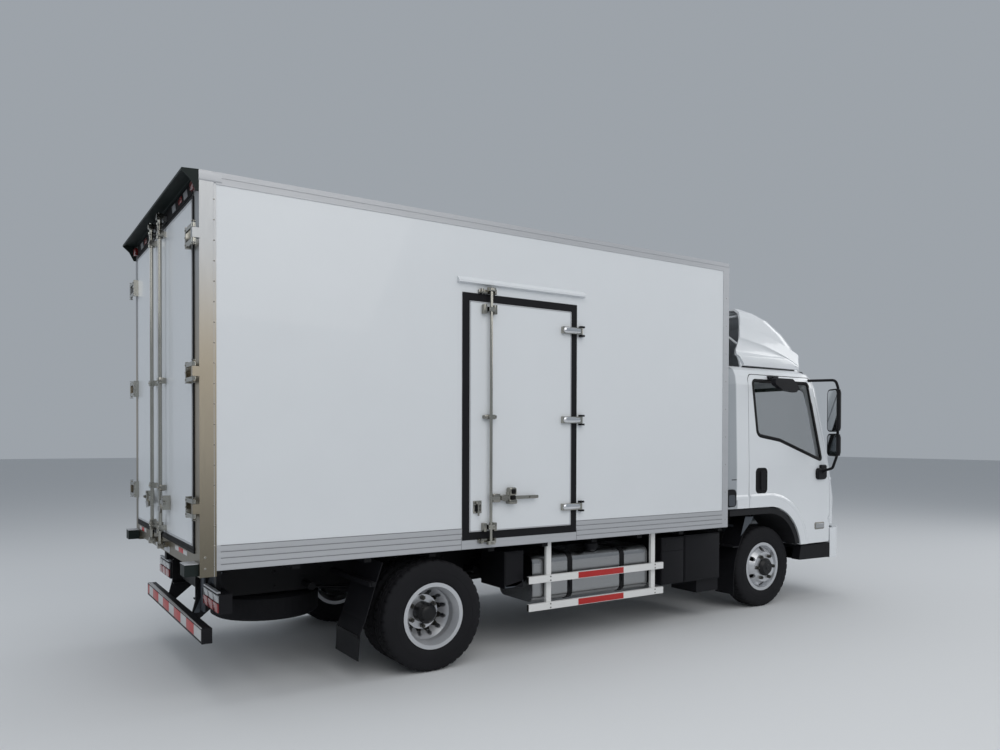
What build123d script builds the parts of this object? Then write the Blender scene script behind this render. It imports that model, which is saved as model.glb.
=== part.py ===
from build123d import *
from functools import cache
import math
import os

# Refrigerated truck: a tilting cab, a ladder frame on two axles, twin rear wheels and an
# insulated box with two rear doors and one side door. Sizes are in mm. X runs forward from the
# rear face of the load box, Y to the left and Z up from the ground. The finished pieces are
# moved along X at the end, so that the origin is under the middle of the whole truck.

# Running clearances and seats
SEAT = 0.3          # between a piece and what carries it on another body
SHUT_GAP = 6        # round a cab door
PIN_GAP = 0.3       # a pin in its eye

# Wheels
TYRE_RADIUS = 377.5
TYRE_WIDTH = 180
BEAD_WIDTH = 142
BEAD_RADIUS = 204
RIM_HALF_WIDTH = 82
FLANGE_RADIUS = 226
RIM_WALL = 8
RIM_WELL_RADIUS = 184
DISC_WALL = 10
DISC_OFFSET = 104   # from the middle of the rim to the outside of its mounting face
# Discs: flat part's radius, hub's radius, nuts' circle, vent count, vent radius, vents' circle
FRONT_DISC = (138, 82, 111, 6, 22, 162)
REAR_DISC = (126, 72, 98, 12, 16, 148)
NUT_COUNT = 6
NUT_RADIUS = 17
HUB_FLANGE_RADIUS = 128
FACETS = 48         # flat sides of tyres and rims, one of them down
TWIN_SPACING = 216
REAR_AXLE_X = 1528
FRONT_AXLE_X = 5156
FRONT_WHEEL_Y = 786
REAR_WHEEL_Y = 872  # middle of the twin pair
KINGPIN_Y = 668
BRAKE_RADIUS = 165
STEER_ARM = 150     # kingpin to the track rod's pin

# Ladder frame
RAIL_TOP = 700
RAIL_HEIGHT = 180
RAIL_OUTSIDE_Y = 375
RAIL_FLANGE = 62
RAIL_WALL = 7
FRAME_REAR_X = 130
FRAME_FRONT_X = 6200
CROSS_XS = (190, 1120, 2150, 3050, 4230, 5900)
CROSS_HEIGHT = 110
BEARER_HEIGHT = 80
CROSS_BEARERS = 10
CROSS_BEARER_WIDTH = 50

# Load box
BOX_LENGTH = 4413
SKIN_Y = 1084
TRIM = 4
TREAD_PLATE = 3
FLOOR_BOTTOM = 815
FLOOR_TOP = 905
BOX_TOP = 3105
WALL = 80
PORTAL_DEPTH = 80
POST_WIDTH = 118    # seen from behind
POST_SIDE = 94      # seen from the side
POST_BOTTOM = 783
HEADER_BOTTOM = 2995
FRONT_POST = 66
SKIRT_TOP = 962
TOP_RAIL_BOTTOM = 3035
TOP_RAIL_SEAM = 3074

# Rear doors
DOOR_THICK = 84
DOOR_PROUD = 8
DOOR_GAP = 8
GASKET = 18
REAR_HINGE_X = -32
REAR_HINGE_Y = 1099
REAR_HINGE_ZS = (1179, 1960, 2741)
ROD_RADIUS = 12
REAR_ROD_Y = 150
ROD_STANDOFF = 34
REAR_LOCK_Z = 1160
REAR_ROD_ZS = (846, 3066)   # low and high ends
REAR_KEEPER_ZS = (872, 3028)
REAR_HINGE_BAR_Y = 929

# Side door, in the right wall
SIDE_FRAME = (1732, 2731, 878, 2589)    # low x, high x, low z, high z
SIDE_FRAME_WIDTH = 50
SIDE_HINGE_X = 2762
SIDE_HINGE_ZS = (1073, 1723, 2391)
SIDE_ROD_X = 1945
SIDE_HANDLE_Z = 1163
DRIP_RAIL = (1692, 2802, 2651, 2697)

# Cab
CAB_REAR_X = 4530
CAB_REAR_BOTTOM = 950
CAB_WALL = 45
CAB_DOOR_THICK = 60
CAB_REAR_RADIUS = 90
CAB_SECTIONS = (
    # height, front x on the centre line, half width, front corner radius
    (560, 6268, 944, 190),
    (1000, 6280, 950, 200),
    (1330, 6206, 950, 200),
    (2080, 5992, 932, 185),
    (2160, 5952, 920, 178),
    (2215, 5895, 895, 165),
    (2250, 5800, 845, 150),
)
CAB_BOW = 22        # how far the front stands out in the middle
CAB_FRONT_BOTTOM = 738
CAB_FLOOR = 990
FOOTWELL_FLOOR = 790
FOOTWELL_X = 5640
FLOOR_WALL = 45
SILL_Y = 850
ARCH_RADIUS = 470
ARCH_Z = 480
LINER_RADIUS = 405
LINER_WALL = 6
LINER_REAR_X = 4611
LINER_FRONT_Z = 572
FLARE_RADIUS = 580  # of the bulge round the arch
FLARE_OUT = 9
DOOR_REAR_X = 4865
DOOR_FRONT_X = 6070
DOOR_BOTTOM = 562
DOOR_TOP = 2178
CAB_HINGE_X = 6060
CAB_HINGE_Y = 944
CAB_HINGE_ZS = (800, 1190)
HINGE_PIN = 4
HINGE_LUG = 20
TILT_X = 6160
TILT_Z = 740
TILT_PIN_RADIUS = 14
TILT_EYE_RADIUS = 30
TILT_EYE = (320, 372)   # the cab's eye, from y to y
TILT_LUG = 12
PANE = 6
PANE_INSET = 8
BUMPER_FRONT_X = 6355
BUMPER_SIDE_X = 6084
BUMPER_TOP = 696
BUMPER_BOTTOM = 399
BUMPER_WALL = 45
BUMPER_HALF = 948
BUMPER_RADIUS = 200
BUMPER_BRACKET_TOP = 600
VISOR_REACH = 95

# Front axle and springs
HUB_BACK_Y = FRONT_WHEEL_Y + DISC_OFFSET - DISC_WALL - 24   # inside face of a front hub
KNUCKLE_HALF = 62
BEAM_END_HALF = 44
REAR_SPRING_Y = 470
FRONT_SPRING_Y = 415
SPRING_WIDTH = 64
SPRING_EYE_Z = 560
LEAF = 11
AXLE_NOSE = 230
GEARBOX_X = 4350
GEARBOX_Z = 500

# Tank, side boxes and guards
TANK_X = (2400, 3560)
TANK_Y = (540, 985)
TANK_Z = (355, 705)
STRAP_XS = (2732, 3261)
STRAP_WIDTH = 44
STRAP = 4
SIDE_BOXES = (
    # low x, high x, inner y, outer y, low z, high z
    (2165, 2335, 640, 960, 480, 750),
    (3730, 3996, 560, 975, 355, 750),
    (4004, 4440, 520, 975, 355, 755),
    (4190, 4460, 640, 940, 240, 355),
)
BOX_ARMS = ((2220, 2270), (3800, 3850), (4250, 4330))
GUARD_POSTS = (2525, 3592)
GUARD_X = (2325, 3685)
GUARD_ZS = (334, 538)
GUARD_RAIL = 52
GUARD_Y = 1022

# Rear bar, lamps, spare wheel and mudguards
UNDERRUN_X = (52, 112)
UNDERRUN_Z = (355, 445)
UNDERRUN_HALF = 900
LAMP_X = (160, 225)
LAMP_Y = (533, 922)
LAMP_Z = (523, 642)
SPARE_X = 700
SPARE_Z = 405
MUDGUARD_WALL = 6
FRONT_GUARD = (
    # x, z of the side towards the wheel, from the top down
    (4985, 868), (4932, 822), (4855, 727), (4785, 598), (4735, 470), (4721, 377), (4717, 300),
    (4715, 160),
)
REAR_GUARD = ((1152, 772), (1107, 647), (1062, 507), (1028, 401), (990, 314), (981, 150))
BUFFER_REACH = 78
SIDE_HINGE_Y = -SKIN_Y - 24

# Mirrors, grille, lamps and deflector
MIRROR_X = 5900
MIRROR_Y = 1150
MIRROR_ARM = 13
KERB_MIRROR = (
    # x, z, corner radius
    (5000, 2138, 18), (5245, 2139, 40), (5345, 2068, 22), (5300, 2016, 24), (5105, 2034, 40),
    (4998, 2084, 20),
)
GRILLE_DEPTH = 25
LAMP_DEPTH = 35
GRILLE = ((-520, 800, 30), (-520, 900, 30), (520, 900, 30), (520, 800, 30))
HEADLAMP = ((570, 785, 30), (570, 935, 30), (905, 955, 40), (905, 800, 40))
DEFLECTOR_SECTIONS = (
    # height, rear x, front x, half width, front corner radius
    (2225, 4866, 5898, 846, 240),
    (2300, 4845, 5890, 846, 240),
    (2390, 4795, 5842, 846, 240),
    (2435, 4828, 5806, 843, 240),
    (2490, 4849, 5763, 838, 240),
    (2598, 4858, 5624, 836, 240),
    (2707, 4864, 5408, 830, 220),
    (2765, 4868, 5180, 812, 150),
    (2800, 4872, 5000, 760, 60),
)
DEFLECTOR_WALL = 15
DEFLECTOR_BOW = 16


def block(x, y, z):
    """A box between pairs of low and high values."""
    size = (x[1] - x[0], y[1] - y[0], z[1] - z[0])
    return Pos(x[0], y[0], z[0]) * Box(*size, align=(Align.MIN, Align.MIN, Align.MIN))


def outline(rows):
    """A closed outline from rows of (across, up, corner radius)."""
    points = [(across, up) for across, up, radius in rows]
    return make_face(FilletPolyline(*points, radius=[row[2] for row in rows], close=True))


def along_x(rows, low, high):
    """A solid of constant section, its outline in rows of (y, z, corner radius)."""
    return extrude(Plane((low, 0, 0), (0, 1, 0), (1, 0, 0)) * outline(rows), high - low)


def along_y(rows, low, high):
    """A solid of constant section, its outline in rows of (x, z, corner radius)."""
    return extrude(Plane((0, high, 0), (1, 0, 0), (0, -1, 0)) * outline(rows), high - low)


def along_z(rows, low, high):
    """A solid of constant section, its outline in rows of (x, y, corner radius)."""
    return extrude(Plane((0, 0, low)) * outline(rows), high - low)


def bar(start, end, radius):
    """A round bar between two points."""
    line = Vector(*end) - Vector(*start)
    return extrude(Plane(Vector(*start), z_dir=line) * Circle(radius), line.length)


def tube(points, radius, bend):
    """A round tube through points, its corners bent to one radius."""
    path = FilletPolyline(*points, radius=bend)
    return sweep(Plane(path @ 0, z_dir=path % 0) * Circle(radius), path=path)


def flipped(shape):
    """The same piece on the other side of the truck."""
    return mirror(shape, about=Plane.XZ)


def both(shape):
    return shape + flipped(shape)


def turned(rows, y, x, z=TYRE_RADIUS, side=1):
    """A turned piece about a wheel's axis. Rows are (radius, distance outward from y)."""
    face = make_face(Polyline(*[(radius, side * out) for radius, out in rows], close=True))
    ring = revolve(face, Axis.Y)
    return Pos(x, y, z) * ring


# Wheels and axles

def hex_bar(start, end, radius):
    """A six sided bar between two points."""
    line = Vector(*end) - Vector(*start)
    return extrude(Plane(Vector(*start), z_dir=line) * RegularPolygon(radius, 6), line.length)


def faceted(rows, x, y, z=TYRE_RADIUS, side=1):
    """A ring about a wheel's axis with flat facets, one of them down.

    Rows are (a facet's distance from the axis, its distance outward from y), and the last one
    joins the first.
    """
    stretch = 1 / math.cos(math.pi / FACETS)
    slices = []
    for n in range(FACETS):
        turn = 2 * math.pi * (n + 0.5) / FACETS
        slices.append([Vector(radius * stretch * math.sin(turn), side * out,
                              radius * stretch * math.cos(turn)) for radius, out in rows])
    faces = []
    for n in range(FACETS):
        here, there = slices[n - 1], slices[n]
        for k in range(len(rows)):
            faces.append(Face(Wire.make_polygon((here[k - 1], here[k], there[k], there[k - 1]))))
    return Pos(x, y, z) * (Part() + Solid(Shell(faces)))


def tyre(x, y, z=TYRE_RADIUS):
    bead, half = BEAD_WIDTH / 2, TYRE_WIDTH / 2
    rows = ((BEAD_RADIUS + 4, -bead), (295, -half), (350, -half + 4), (TYRE_RADIUS, -half + 22),
            (TYRE_RADIUS, half - 22), (350, half - 4), (295, half), (BEAD_RADIUS + 4, bead))
    return faceted(rows, x, y, z)


def rim(x, y, side, disc, z=TYRE_RADIUS):
    """One rim with its pressed disc. Side is where the disc's mounting face stands."""
    flat, bore, nut_circle, vent_count, vent_radius, vent_circle = disc
    edge, face = RIM_HALF_WIDTH, DISC_OFFSET
    bead = BEAD_WIDTH / 2
    well = RIM_WELL_RADIUS
    rows = (
        (FLANGE_RADIUS, edge), (BEAD_RADIUS + 3.7, bead), (well, 30), (well, -30),
        (BEAD_RADIUS + 3.7, -bead), (FLANGE_RADIUS, -edge), (FLANGE_RADIUS - 27, -edge),
        (well - RIM_WALL, -30), (well - RIM_WALL, 26), (flat - 6, face - DISC_WALL),
        (bore - 4, face - DISC_WALL), (bore - 4, face), (flat, face), (well + 2, 46),
        (FLANGE_RADIUS - 27, edge),
    )
    vent = bar((0, side * 20, vent_circle), (0, side * (face + 20), vent_circle), vent_radius)
    vents = [Rot(0, 360 / vent_count * (n + 0.5), 0) * vent for n in range(vent_count)]
    return Pos(x, y, z) * (faceted(rows, 0, 0, 0, side) - vents)


def nuts(x, y, side, disc, seat, z=TYRE_RADIUS):
    """Six wheel nuts, seat being the distance of the disc's outside from y."""
    nut = hex_bar((0, side * seat, disc[2]), (0, side * (seat + 24), disc[2]), NUT_RADIUS)
    return Pos(x, y, z) * (Part() + [Rot(0, 360 / NUT_COUNT * n, 0) * nut for n in range(NUT_COUNT)])


def front_rim(side):
    """Rim, hub and nuts of a front wheel, its disc standing outward."""
    x, y, bore = FRONT_AXLE_X, side * FRONT_WHEEL_Y, FRONT_DISC[1]
    seat = DISC_OFFSET
    nose = turned(((0, seat - DISC_WALL - 24), (HUB_FLANGE_RADIUS, seat - DISC_WALL - 24),
                   (HUB_FLANGE_RADIUS, seat - DISC_WALL), (bore, seat - DISC_WALL),
                   (bore, seat + 18), (bore - 20, seat + 40), (0, seat + 40)), y, x, side=side)
    return rim(x, y, side, FRONT_DISC) + nose + nuts(x, y, side, FRONT_DISC, seat)


def front_tyre(side):
    return tyre(FRONT_AXLE_X, side * FRONT_WHEEL_Y)


def rear_tyres(side):
    pair = [side * (REAR_WHEEL_Y + step * TWIN_SPACING / 2) for step in (-1, 1)]
    return tyre(REAR_AXLE_X, pair[0]) + tyre(REAR_AXLE_X, pair[1])


def rear_rims(side):
    """Both rims of a pair meet the hub's flange between them."""
    x, bore = REAR_AXLE_X, REAR_DISC[1]
    outer = side * (REAR_WHEEL_Y + TWIN_SPACING / 2)
    inner = side * (REAR_WHEEL_Y - TWIN_SPACING / 2)
    hub = turned(((0, -20), (bore, -20), (bore, -4), (HUB_FLANGE_RADIUS, -4),
                  (HUB_FLANGE_RADIUS, 4), (bore, 4), (bore, 92), (bore - 20, 112), (0, 112)),
                 side * REAR_WHEEL_Y, x, side=side)
    wheel = rim(x, outer, -side, REAR_DISC) + rim(x, inner, side, REAR_DISC) + hub
    return wheel + nuts(x, side * REAR_WHEEL_Y, side, REAR_DISC, 4 + DISC_WALL)


def knuckle(side):
    """Steering knuckle: a fork round the axle's end, the brake's back plate and spindle, and
    an arm back to the track rod."""
    x, z = FRONT_AXLE_X, TYRE_RADIUS
    fork = block((x - 34, x + 34), (KINGPIN_Y - 34, KINGPIN_Y + 62),
                 (z - KNUCKLE_HALF - 22, z + KNUCKLE_HALF + 22))
    fork -= block((x - 40, x + 40), (KINGPIN_Y - 40, KINGPIN_Y + 48),
                  (z - BEAM_END_HALF - 6, z + BEAM_END_HALF + 6))
    drum = turned(((0, 0), (BRAKE_RADIUS, 0), (BRAKE_RADIUS, 76), (0, 76)), KINGPIN_Y + 56, x)
    spindle = bar((x, KINGPIN_Y + 130, z), (x, HUB_BACK_Y - SEAT, z), 40)
    pin = bar((x, KINGPIN_Y, z - KNUCKLE_HALF - 22), (x, KINGPIN_Y, z + KNUCKLE_HALF + 22), 15)
    arm = block((x - STEER_ARM - 20, x - 20), (KINGPIN_Y - 20, KINGPIN_Y + 20),
                (z - KNUCKLE_HALF - 22, z - KNUCKLE_HALF))
    pivot = bar((x - STEER_ARM, KINGPIN_Y, z - KNUCKLE_HALF - 40),
                (x - STEER_ARM, KINGPIN_Y, z - KNUCKLE_HALF), 10)
    piece = fork + drum + spindle + pin + arm + pivot
    return piece if side > 0 else flipped(piece)


def track_rod():
    """Ties the two knuckle arms, its eyes hung on their pins."""
    x, z = FRONT_AXLE_X - STEER_ARM, TYRE_RADIUS - KNUCKLE_HALF - 22 - 0.5 - 14
    rod = bar((x, -KINGPIN_Y, z), (x, KINGPIN_Y, z), 13)
    for y in (-KINGPIN_Y, KINGPIN_Y):
        rod += bar((x, y, z - 13), (x, y, z + 13.5), 20)
        rod -= bar((x, y, z - 14), (x, y, z + 14), 10 + PIN_GAP)
    return rod


def front_axle():
    """Dropped beam between the kingpins, with pads for the springs."""
    x, z = FRONT_AXLE_X, TYRE_RADIUS
    end = KINGPIN_Y + 24
    beam = along_x((
        (-end, z - 40, 4), (-end, z + 40, 4), (-KINGPIN_Y + 60, z + 40, 20), (-520, z - 10, 30),
        (520, z - 10, 30), (KINGPIN_Y - 60, z + 40, 20), (end, z + 40, 4), (end, z - 40, 4),
        (KINGPIN_Y - 80, z - 40, 20), (540, z - 90, 30), (-540, z - 90, 30),
        (-KINGPIN_Y + 80, z - 40, 20)), x - 32, x + 32)
    for y in (-KINGPIN_Y, KINGPIN_Y):
        beam -= bar((x, y, z - 60), (x, y, z + 60), 15 + PIN_GAP)
    return beam


def shaft_point(reach):
    """A point on the line from the rear axle's middle to the gearbox, reach mm along X."""
    rise = (GEARBOX_Z - TYRE_RADIUS) / (GEARBOX_X - REAR_AXLE_X)
    return (REAR_AXLE_X + reach, 0, TYRE_RADIUS + rise * reach)


def rear_axle():
    """Tube with a round differential housing and a brake drum at each end."""
    x, z = REAR_AXLE_X, TYRE_RADIUS
    inner = REAR_WHEEL_Y - 20 - SEAT
    tube_piece = bar((x, -inner, z), (x, inner, z), 58)
    housing = Pos(x, 0, z) * Sphere(150)
    nose = bar((x, 0, z), shaft_point(AXLE_NOSE), 70)
    drums = both(bar((x, REAR_WHEEL_Y - TWIN_SPACING + 20, z), (x, REAR_WHEEL_Y - 72, z), 150))
    pads = both(block((x - 70, x + 70), (REAR_SPRING_Y - 34, REAR_SPRING_Y + 34),
                      (z + 30, z + 70)))
    return tube_piece + housing + nose + drums + pads + propeller_shaft()


def leaf_pack(x, y, half_length, seat_z, leaves):
    """Leaves of falling length, bent up to the eyes at the frame's side."""
    pack = None
    for n in range(leaves):
        reach = half_length * (1 - 0.16 * n)
        low = seat_z + (leaves - 1 - n) * LEAF
        rise = (SPRING_EYE_Z - seat_z - leaves * LEAF) * (reach / half_length) ** 2
        rows = ((x - reach, low + rise, 0), (x - 90, low, 60), (x + 90, low, 60),
                (x + reach, low + rise, 0), (x + reach, low + rise + LEAF, 0),
                (x + 90, low + LEAF, 60), (x - 90, low + LEAF, 60),
                (x - reach, low + rise + LEAF, 0))
        leaf = along_y(rows, y - SPRING_WIDTH / 2, y + SPRING_WIDTH / 2)
        pack = leaf if pack is None else pack + leaf
    for way in (-1, 1):
        eye_x = x + way * half_length
        pack += bar((eye_x, RAIL_OUTSIDE_Y + SEAT, SPRING_EYE_Z), (eye_x, y + 50, SPRING_EYE_Z), 26)
    return pack


def leaf_springs():
    front = leaf_pack(FRONT_AXLE_X, FRONT_SPRING_Y, 640, TYRE_RADIUS - 10, 3)
    rear = leaf_pack(REAR_AXLE_X, REAR_SPRING_Y, 660, TYRE_RADIUS + 70, 5)
    return both(front) + both(rear)


# Chassis

def bumper_rows(inset):
    """Plan outline of the bumper, drawn in by inset."""
    rear, half = BUMPER_SIDE_X - inset, BUMPER_HALF - inset
    edge, corner = BUMPER_FRONT_X - CAB_BOW - inset, BUMPER_RADIUS - inset
    return ((rear, -half, 0), (edge, -half, corner), (BUMPER_FRONT_X - inset, 0, 6000),
            (edge, half, corner), (rear, half, 0))


def ladder_frame():
    """Two channels with cross members, the cab's hinge lugs and rear rests, and the bumper's
    brackets."""
    low = RAIL_TOP - RAIL_HEIGHT
    inner = RAIL_OUTSIDE_Y - RAIL_FLANGE
    rail = block((FRAME_REAR_X, FRAME_FRONT_X), (inner, RAIL_OUTSIDE_Y), (low, RAIL_TOP))
    rail -= block((FRAME_REAR_X - 1, FRAME_FRONT_X + 1), (inner - 1, RAIL_OUTSIDE_Y - RAIL_WALL),
                  (low + RAIL_WALL, RAIL_TOP - RAIL_WALL))
    frame = both(rail)
    web = RAIL_OUTSIDE_Y - RAIL_WALL
    mid = RAIL_TOP - RAIL_HEIGHT / 2
    for x in CROSS_XS:
        frame += block((x, x + 60), (-web, web), (mid - CROSS_HEIGHT / 2, mid + CROSS_HEIGHT / 2))
    rest = block((CAB_REAR_X + 30, CAB_REAR_X + 100), (inner, RAIL_OUTSIDE_Y),
                 (RAIL_TOP, CAB_REAR_BOTTOM - SEAT))
    bracket = block((FRAME_FRONT_X - 60, BUMPER_FRONT_X), (inner, RAIL_OUTSIDE_Y),
                    (low, BUMPER_BRACKET_TOP))
    bracket &= along_z(bumper_rows(BUMPER_WALL + SEAT), 0, 1000)
    lugs = Part()
    for y in (TILT_EYE[0] - TILT_LUG - SEAT, TILT_EYE[1] + SEAT):
        lugs += along_y(((TILT_X - 34, RAIL_TOP, 0), (TILT_X + 34, RAIL_TOP, 0),
                         (TILT_X + 20, TILT_Z + 24, 12), (TILT_X - 20, TILT_Z + 24, 12)),
                        y, y + TILT_LUG)
    pin = bar((TILT_X, TILT_EYE[0] - TILT_LUG - SEAT, TILT_Z),
              (TILT_X, TILT_EYE[1] + TILT_LUG + SEAT, TILT_Z), TILT_PIN_RADIUS)
    return frame + both(rest) + both(bracket) + both(lugs) + both(pin)


def box_subframe():
    """Two long bearers on the rails and cross bearers up to the floor."""
    inner = RAIL_OUTSIDE_Y - RAIL_FLANGE
    top = RAIL_TOP + BEARER_HEIGHT
    rear, front = PORTAL_DEPTH, BOX_LENGTH - 20
    frame = both(block((rear, front), (inner, RAIL_OUTSIDE_Y), (RAIL_TOP, top)))
    step = (front - rear - CROSS_BEARER_WIDTH) / (CROSS_BEARERS - 1)
    for n in range(CROSS_BEARERS):
        x = rear + n * step
        frame += block((x, x + CROSS_BEARER_WIDTH), (-SKIN_Y + 40, SKIN_Y - 40),
                       (top, FLOOR_BOTTOM))
    return frame


def engine():
    """One plain block under the cab, its gearbox narrowing to the rear."""
    block_rows = ((4900, 430, 20), (4900, 880, 20), (5560, 880, 20), (5560, 430, 20))
    body = along_y(block_rows, -250, 250)
    box = along_y(((GEARBOX_X, 430, 20), (GEARBOX_X, 680, 20), (4901, 760, 10), (4901, 440, 10)),
                  -130, 130)
    mounts = both(block((5300, 5380), (249, RAIL_OUTSIDE_Y - RAIL_WALL), (600, 640)))
    return body + box + mounts


def propeller_shaft():
    """Shaft from the gearbox's flange to the axle's nose."""
    flange = bar((GEARBOX_X - 20, 0, GEARBOX_Z), (GEARBOX_X - SEAT, 0, GEARBOX_Z), 52)
    long = GEARBOX_X - REAR_AXLE_X - 10
    return flange + bar(shaft_point(AXLE_NOSE - 5), shaft_point(long), 40)


def fuel_tank():
    """Rounded aluminium tank on the right side with its filler neck."""
    rows = ((-TANK_Y[1], TANK_Z[0], 60), (-TANK_Y[1], TANK_Z[1], 60),
            (-TANK_Y[0], TANK_Z[1], 60), (-TANK_Y[0], TANK_Z[0], 60))
    tank = along_x(rows, *TANK_X)
    neck_x = (STRAP_XS[0] + STRAP_XS[1]) / 2 + 22
    neck = bar((neck_x, -TANK_Y[1] + 70, TANK_Z[1] - 4), (neck_x, -TANK_Y[1] + 70, TANK_Z[1] + 34), 42)
    return tank + neck


def tank_brackets():
    """Two arms from the rail carry the tank, each with a strap round it."""
    piece = Part()
    for x in STRAP_XS:
        span = (x, x + STRAP_WIDTH)
        ring = []
        for grow in (SEAT + STRAP, SEAT):
            rows = ((-TANK_Y[1] - grow, TANK_Z[0] - grow, 60 + grow),
                    (-TANK_Y[1] - grow, TANK_Z[1] + grow, 60 + grow),
                    (-TANK_Y[0] + grow, TANK_Z[1] + grow, 60 + grow),
                    (-TANK_Y[0] + grow, TANK_Z[0] - grow, 60 + grow))
            ring.append(along_x(rows, *span))
        arm = block(span, (-TANK_Y[0] + SEAT + 1, -RAIL_OUTSIDE_Y), (RAIL_TOP - 150, RAIL_TOP - 30))
        piece += ring[0] - ring[1] + arm
    return piece


def side_boxes():
    """Black tool, battery and valve boxes on the right side, on arms from the rail."""
    piece = Part()
    for x0, x1, y0, y1, z0, z1 in SIDE_BOXES:
        piece += block((x0, x1), (-y1, -y0), (z0, z1))
    for span in BOX_ARMS:
        piece += block(span, (-680, -RAIL_OUTSIDE_Y - SEAT), (560, 640))
    return piece


def silencer():
    """Exhaust silencer on the left side with its tail pipe, hung from the rail."""
    can = bar((3100, 640, 480), (4050, 640, 480), 120)
    pipe = tube(((2900, 640, 480), (2500, 640, 480), (2250, 600, 470), (2250, 900, 440)), 34, 60)
    joint = bar((2890, 640, 480), (3110, 640, 480), 34)
    hanger = block((3300, 3350), (RAIL_OUTSIDE_Y + SEAT, 640), (555, 595))
    return can + joint + pipe + hanger + block((3800, 3850), (RAIL_OUTSIDE_Y + SEAT, 640), (555, 595))


def side_guard(side):
    """White side guard: two posts from the floor's edge and two rails."""
    rails = Part()
    for z in GUARD_ZS:
        rails += block(GUARD_X, (GUARD_Y, GUARD_Y + 26), (z - GUARD_RAIL / 2, z + GUARD_RAIL / 2))
    for x in GUARD_POSTS:
        rails += block((x - 22, x + 22), (GUARD_Y - 24, GUARD_Y), (GUARD_ZS[0] - 22, FLOOR_BOTTOM))
    return rails if side > 0 else flipped(rails)


def side_guards():
    return side_guard(1) + side_guard(-1)


def underrun_bar():
    """Square bar under the doors, on two arms from the rails."""
    piece = block(UNDERRUN_X, (-UNDERRUN_HALF, UNDERRUN_HALF), UNDERRUN_Z)
    low = RAIL_TOP - RAIL_HEIGHT
    arm = along_y(((UNDERRUN_X[1] - 5, UNDERRUN_Z[0] + 5, 0), (UNDERRUN_X[1] - 5, UNDERRUN_Z[1] - 5, 0),
                   (170, RAIL_TOP - 20, 0), (330, RAIL_TOP - 20, 0), (330, low + 20, 0)),
                  RAIL_OUTSIDE_Y + SEAT, RAIL_OUTSIDE_Y + 12)
    return piece + both(arm)


def tail_lamps():
    """Lamp box each side on an arm from the rail."""
    lamp = block(LAMP_X, LAMP_Y, LAMP_Z)
    arm = block((LAMP_X[1], LAMP_X[1] + 10), (RAIL_OUTSIDE_Y + 12.5, LAMP_Y[1] - 40),
                (LAMP_Z[0] + 30, LAMP_Z[1] - 20))
    return both(lamp + arm)


def spare_wheel():
    """Spare wheel hung flat under the rear overhang, with its disc and winch bolt."""
    carcass = tyre(0, 0, 0)
    plate = turned(((0, -10), (BEAD_RADIUS + 6, -10), (BEAD_RADIUS + 6, 10), (0, 10)), 0, 0, 0)
    wheel = Pos(SPARE_X, 0, SPARE_Z) * Rot(90, 0, 0) * (carcass + plate)
    mid = RAIL_TOP - RAIL_HEIGHT / 2
    hanger = bar((SPARE_X, 0, SPARE_Z), (SPARE_X, 0, mid), 20)
    beam = block((SPARE_X - 40, SPARE_X + 40),
                 (-RAIL_OUTSIDE_Y + RAIL_WALL + SEAT, RAIL_OUTSIDE_Y - RAIL_WALL - SEAT),
                 (mid - 20, mid + 20))
    return wheel + hanger + beam


def bent_sheet(points, wall, y):
    """A sheet along points (x, z) from y to y, its wall on the side away from the wheel."""
    back = []
    for n, (x, z) in enumerate(points):
        x0, z0 = points[max(n - 1, 0)]
        x1, z1 = points[min(n + 1, len(points) - 1)]
        long = math.hypot(x1 - x0, z1 - z0)
        back.append((x + wall * (z1 - z0) / long, z - wall * (x1 - x0) / long))
    return along_y([(x, z, 0) for x, z in [*points, *reversed(back)]], *y)


def mudguards_and_steps():
    """Guards with flaps behind the wheels, and the black step panels under the doors."""
    front = bent_sheet(FRONT_GUARD, MUDGUARD_WALL, (690, 905))
    front += block((4700, 4779), (RAIL_OUTSIDE_Y + SEAT, 905), (590, 602))
    rear = bent_sheet(REAR_GUARD, MUDGUARD_WALL, (680, 1062))
    rear += block((1056, 1099), (RAIL_OUTSIDE_Y + SEAT, 1062), (620, 650))
    end = BUMPER_SIDE_X - SEAT
    step = along_y(((5600, 412, 10), (5632, 548, 10), (end, 548, 0), (end, 405, 0)), 858, 945)
    step += block((5640, end), (705, 860), (525, 548)) + block((5640, end), (705, 860), (412, 424))
    step += block((5640, end), (705, 717), (412, 548))
    step += block((5900, 5960), (RAIL_OUTSIDE_Y + SEAT, 706), (525, 545))
    return both(front) + both(rear) + both(step)


# Load box

def box_floor():
    """Insulated floor with a thin tread plate between the walls."""
    floor = block((PORTAL_DEPTH, BOX_LENGTH), (-SKIN_Y, SKIN_Y), (FLOOR_BOTTOM, FLOOR_TOP))
    inside = SKIN_Y - WALL - SEAT
    return floor + block((PORTAL_DEPTH, BOX_LENGTH - WALL - SEAT), (-inside, inside),
                         (FLOOR_TOP, FLOOR_TOP + TREAD_PLATE))


def box_roof():
    return block((PORTAL_DEPTH, BOX_LENGTH), (-SKIN_Y, SKIN_Y), (BOX_TOP - WALL, BOX_TOP - TRIM))


def box_front_wall():
    return block((BOX_LENGTH - WALL, BOX_LENGTH), (-SKIN_Y + WALL, SKIN_Y - WALL),
                 (FLOOR_TOP, BOX_TOP - WALL))


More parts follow.
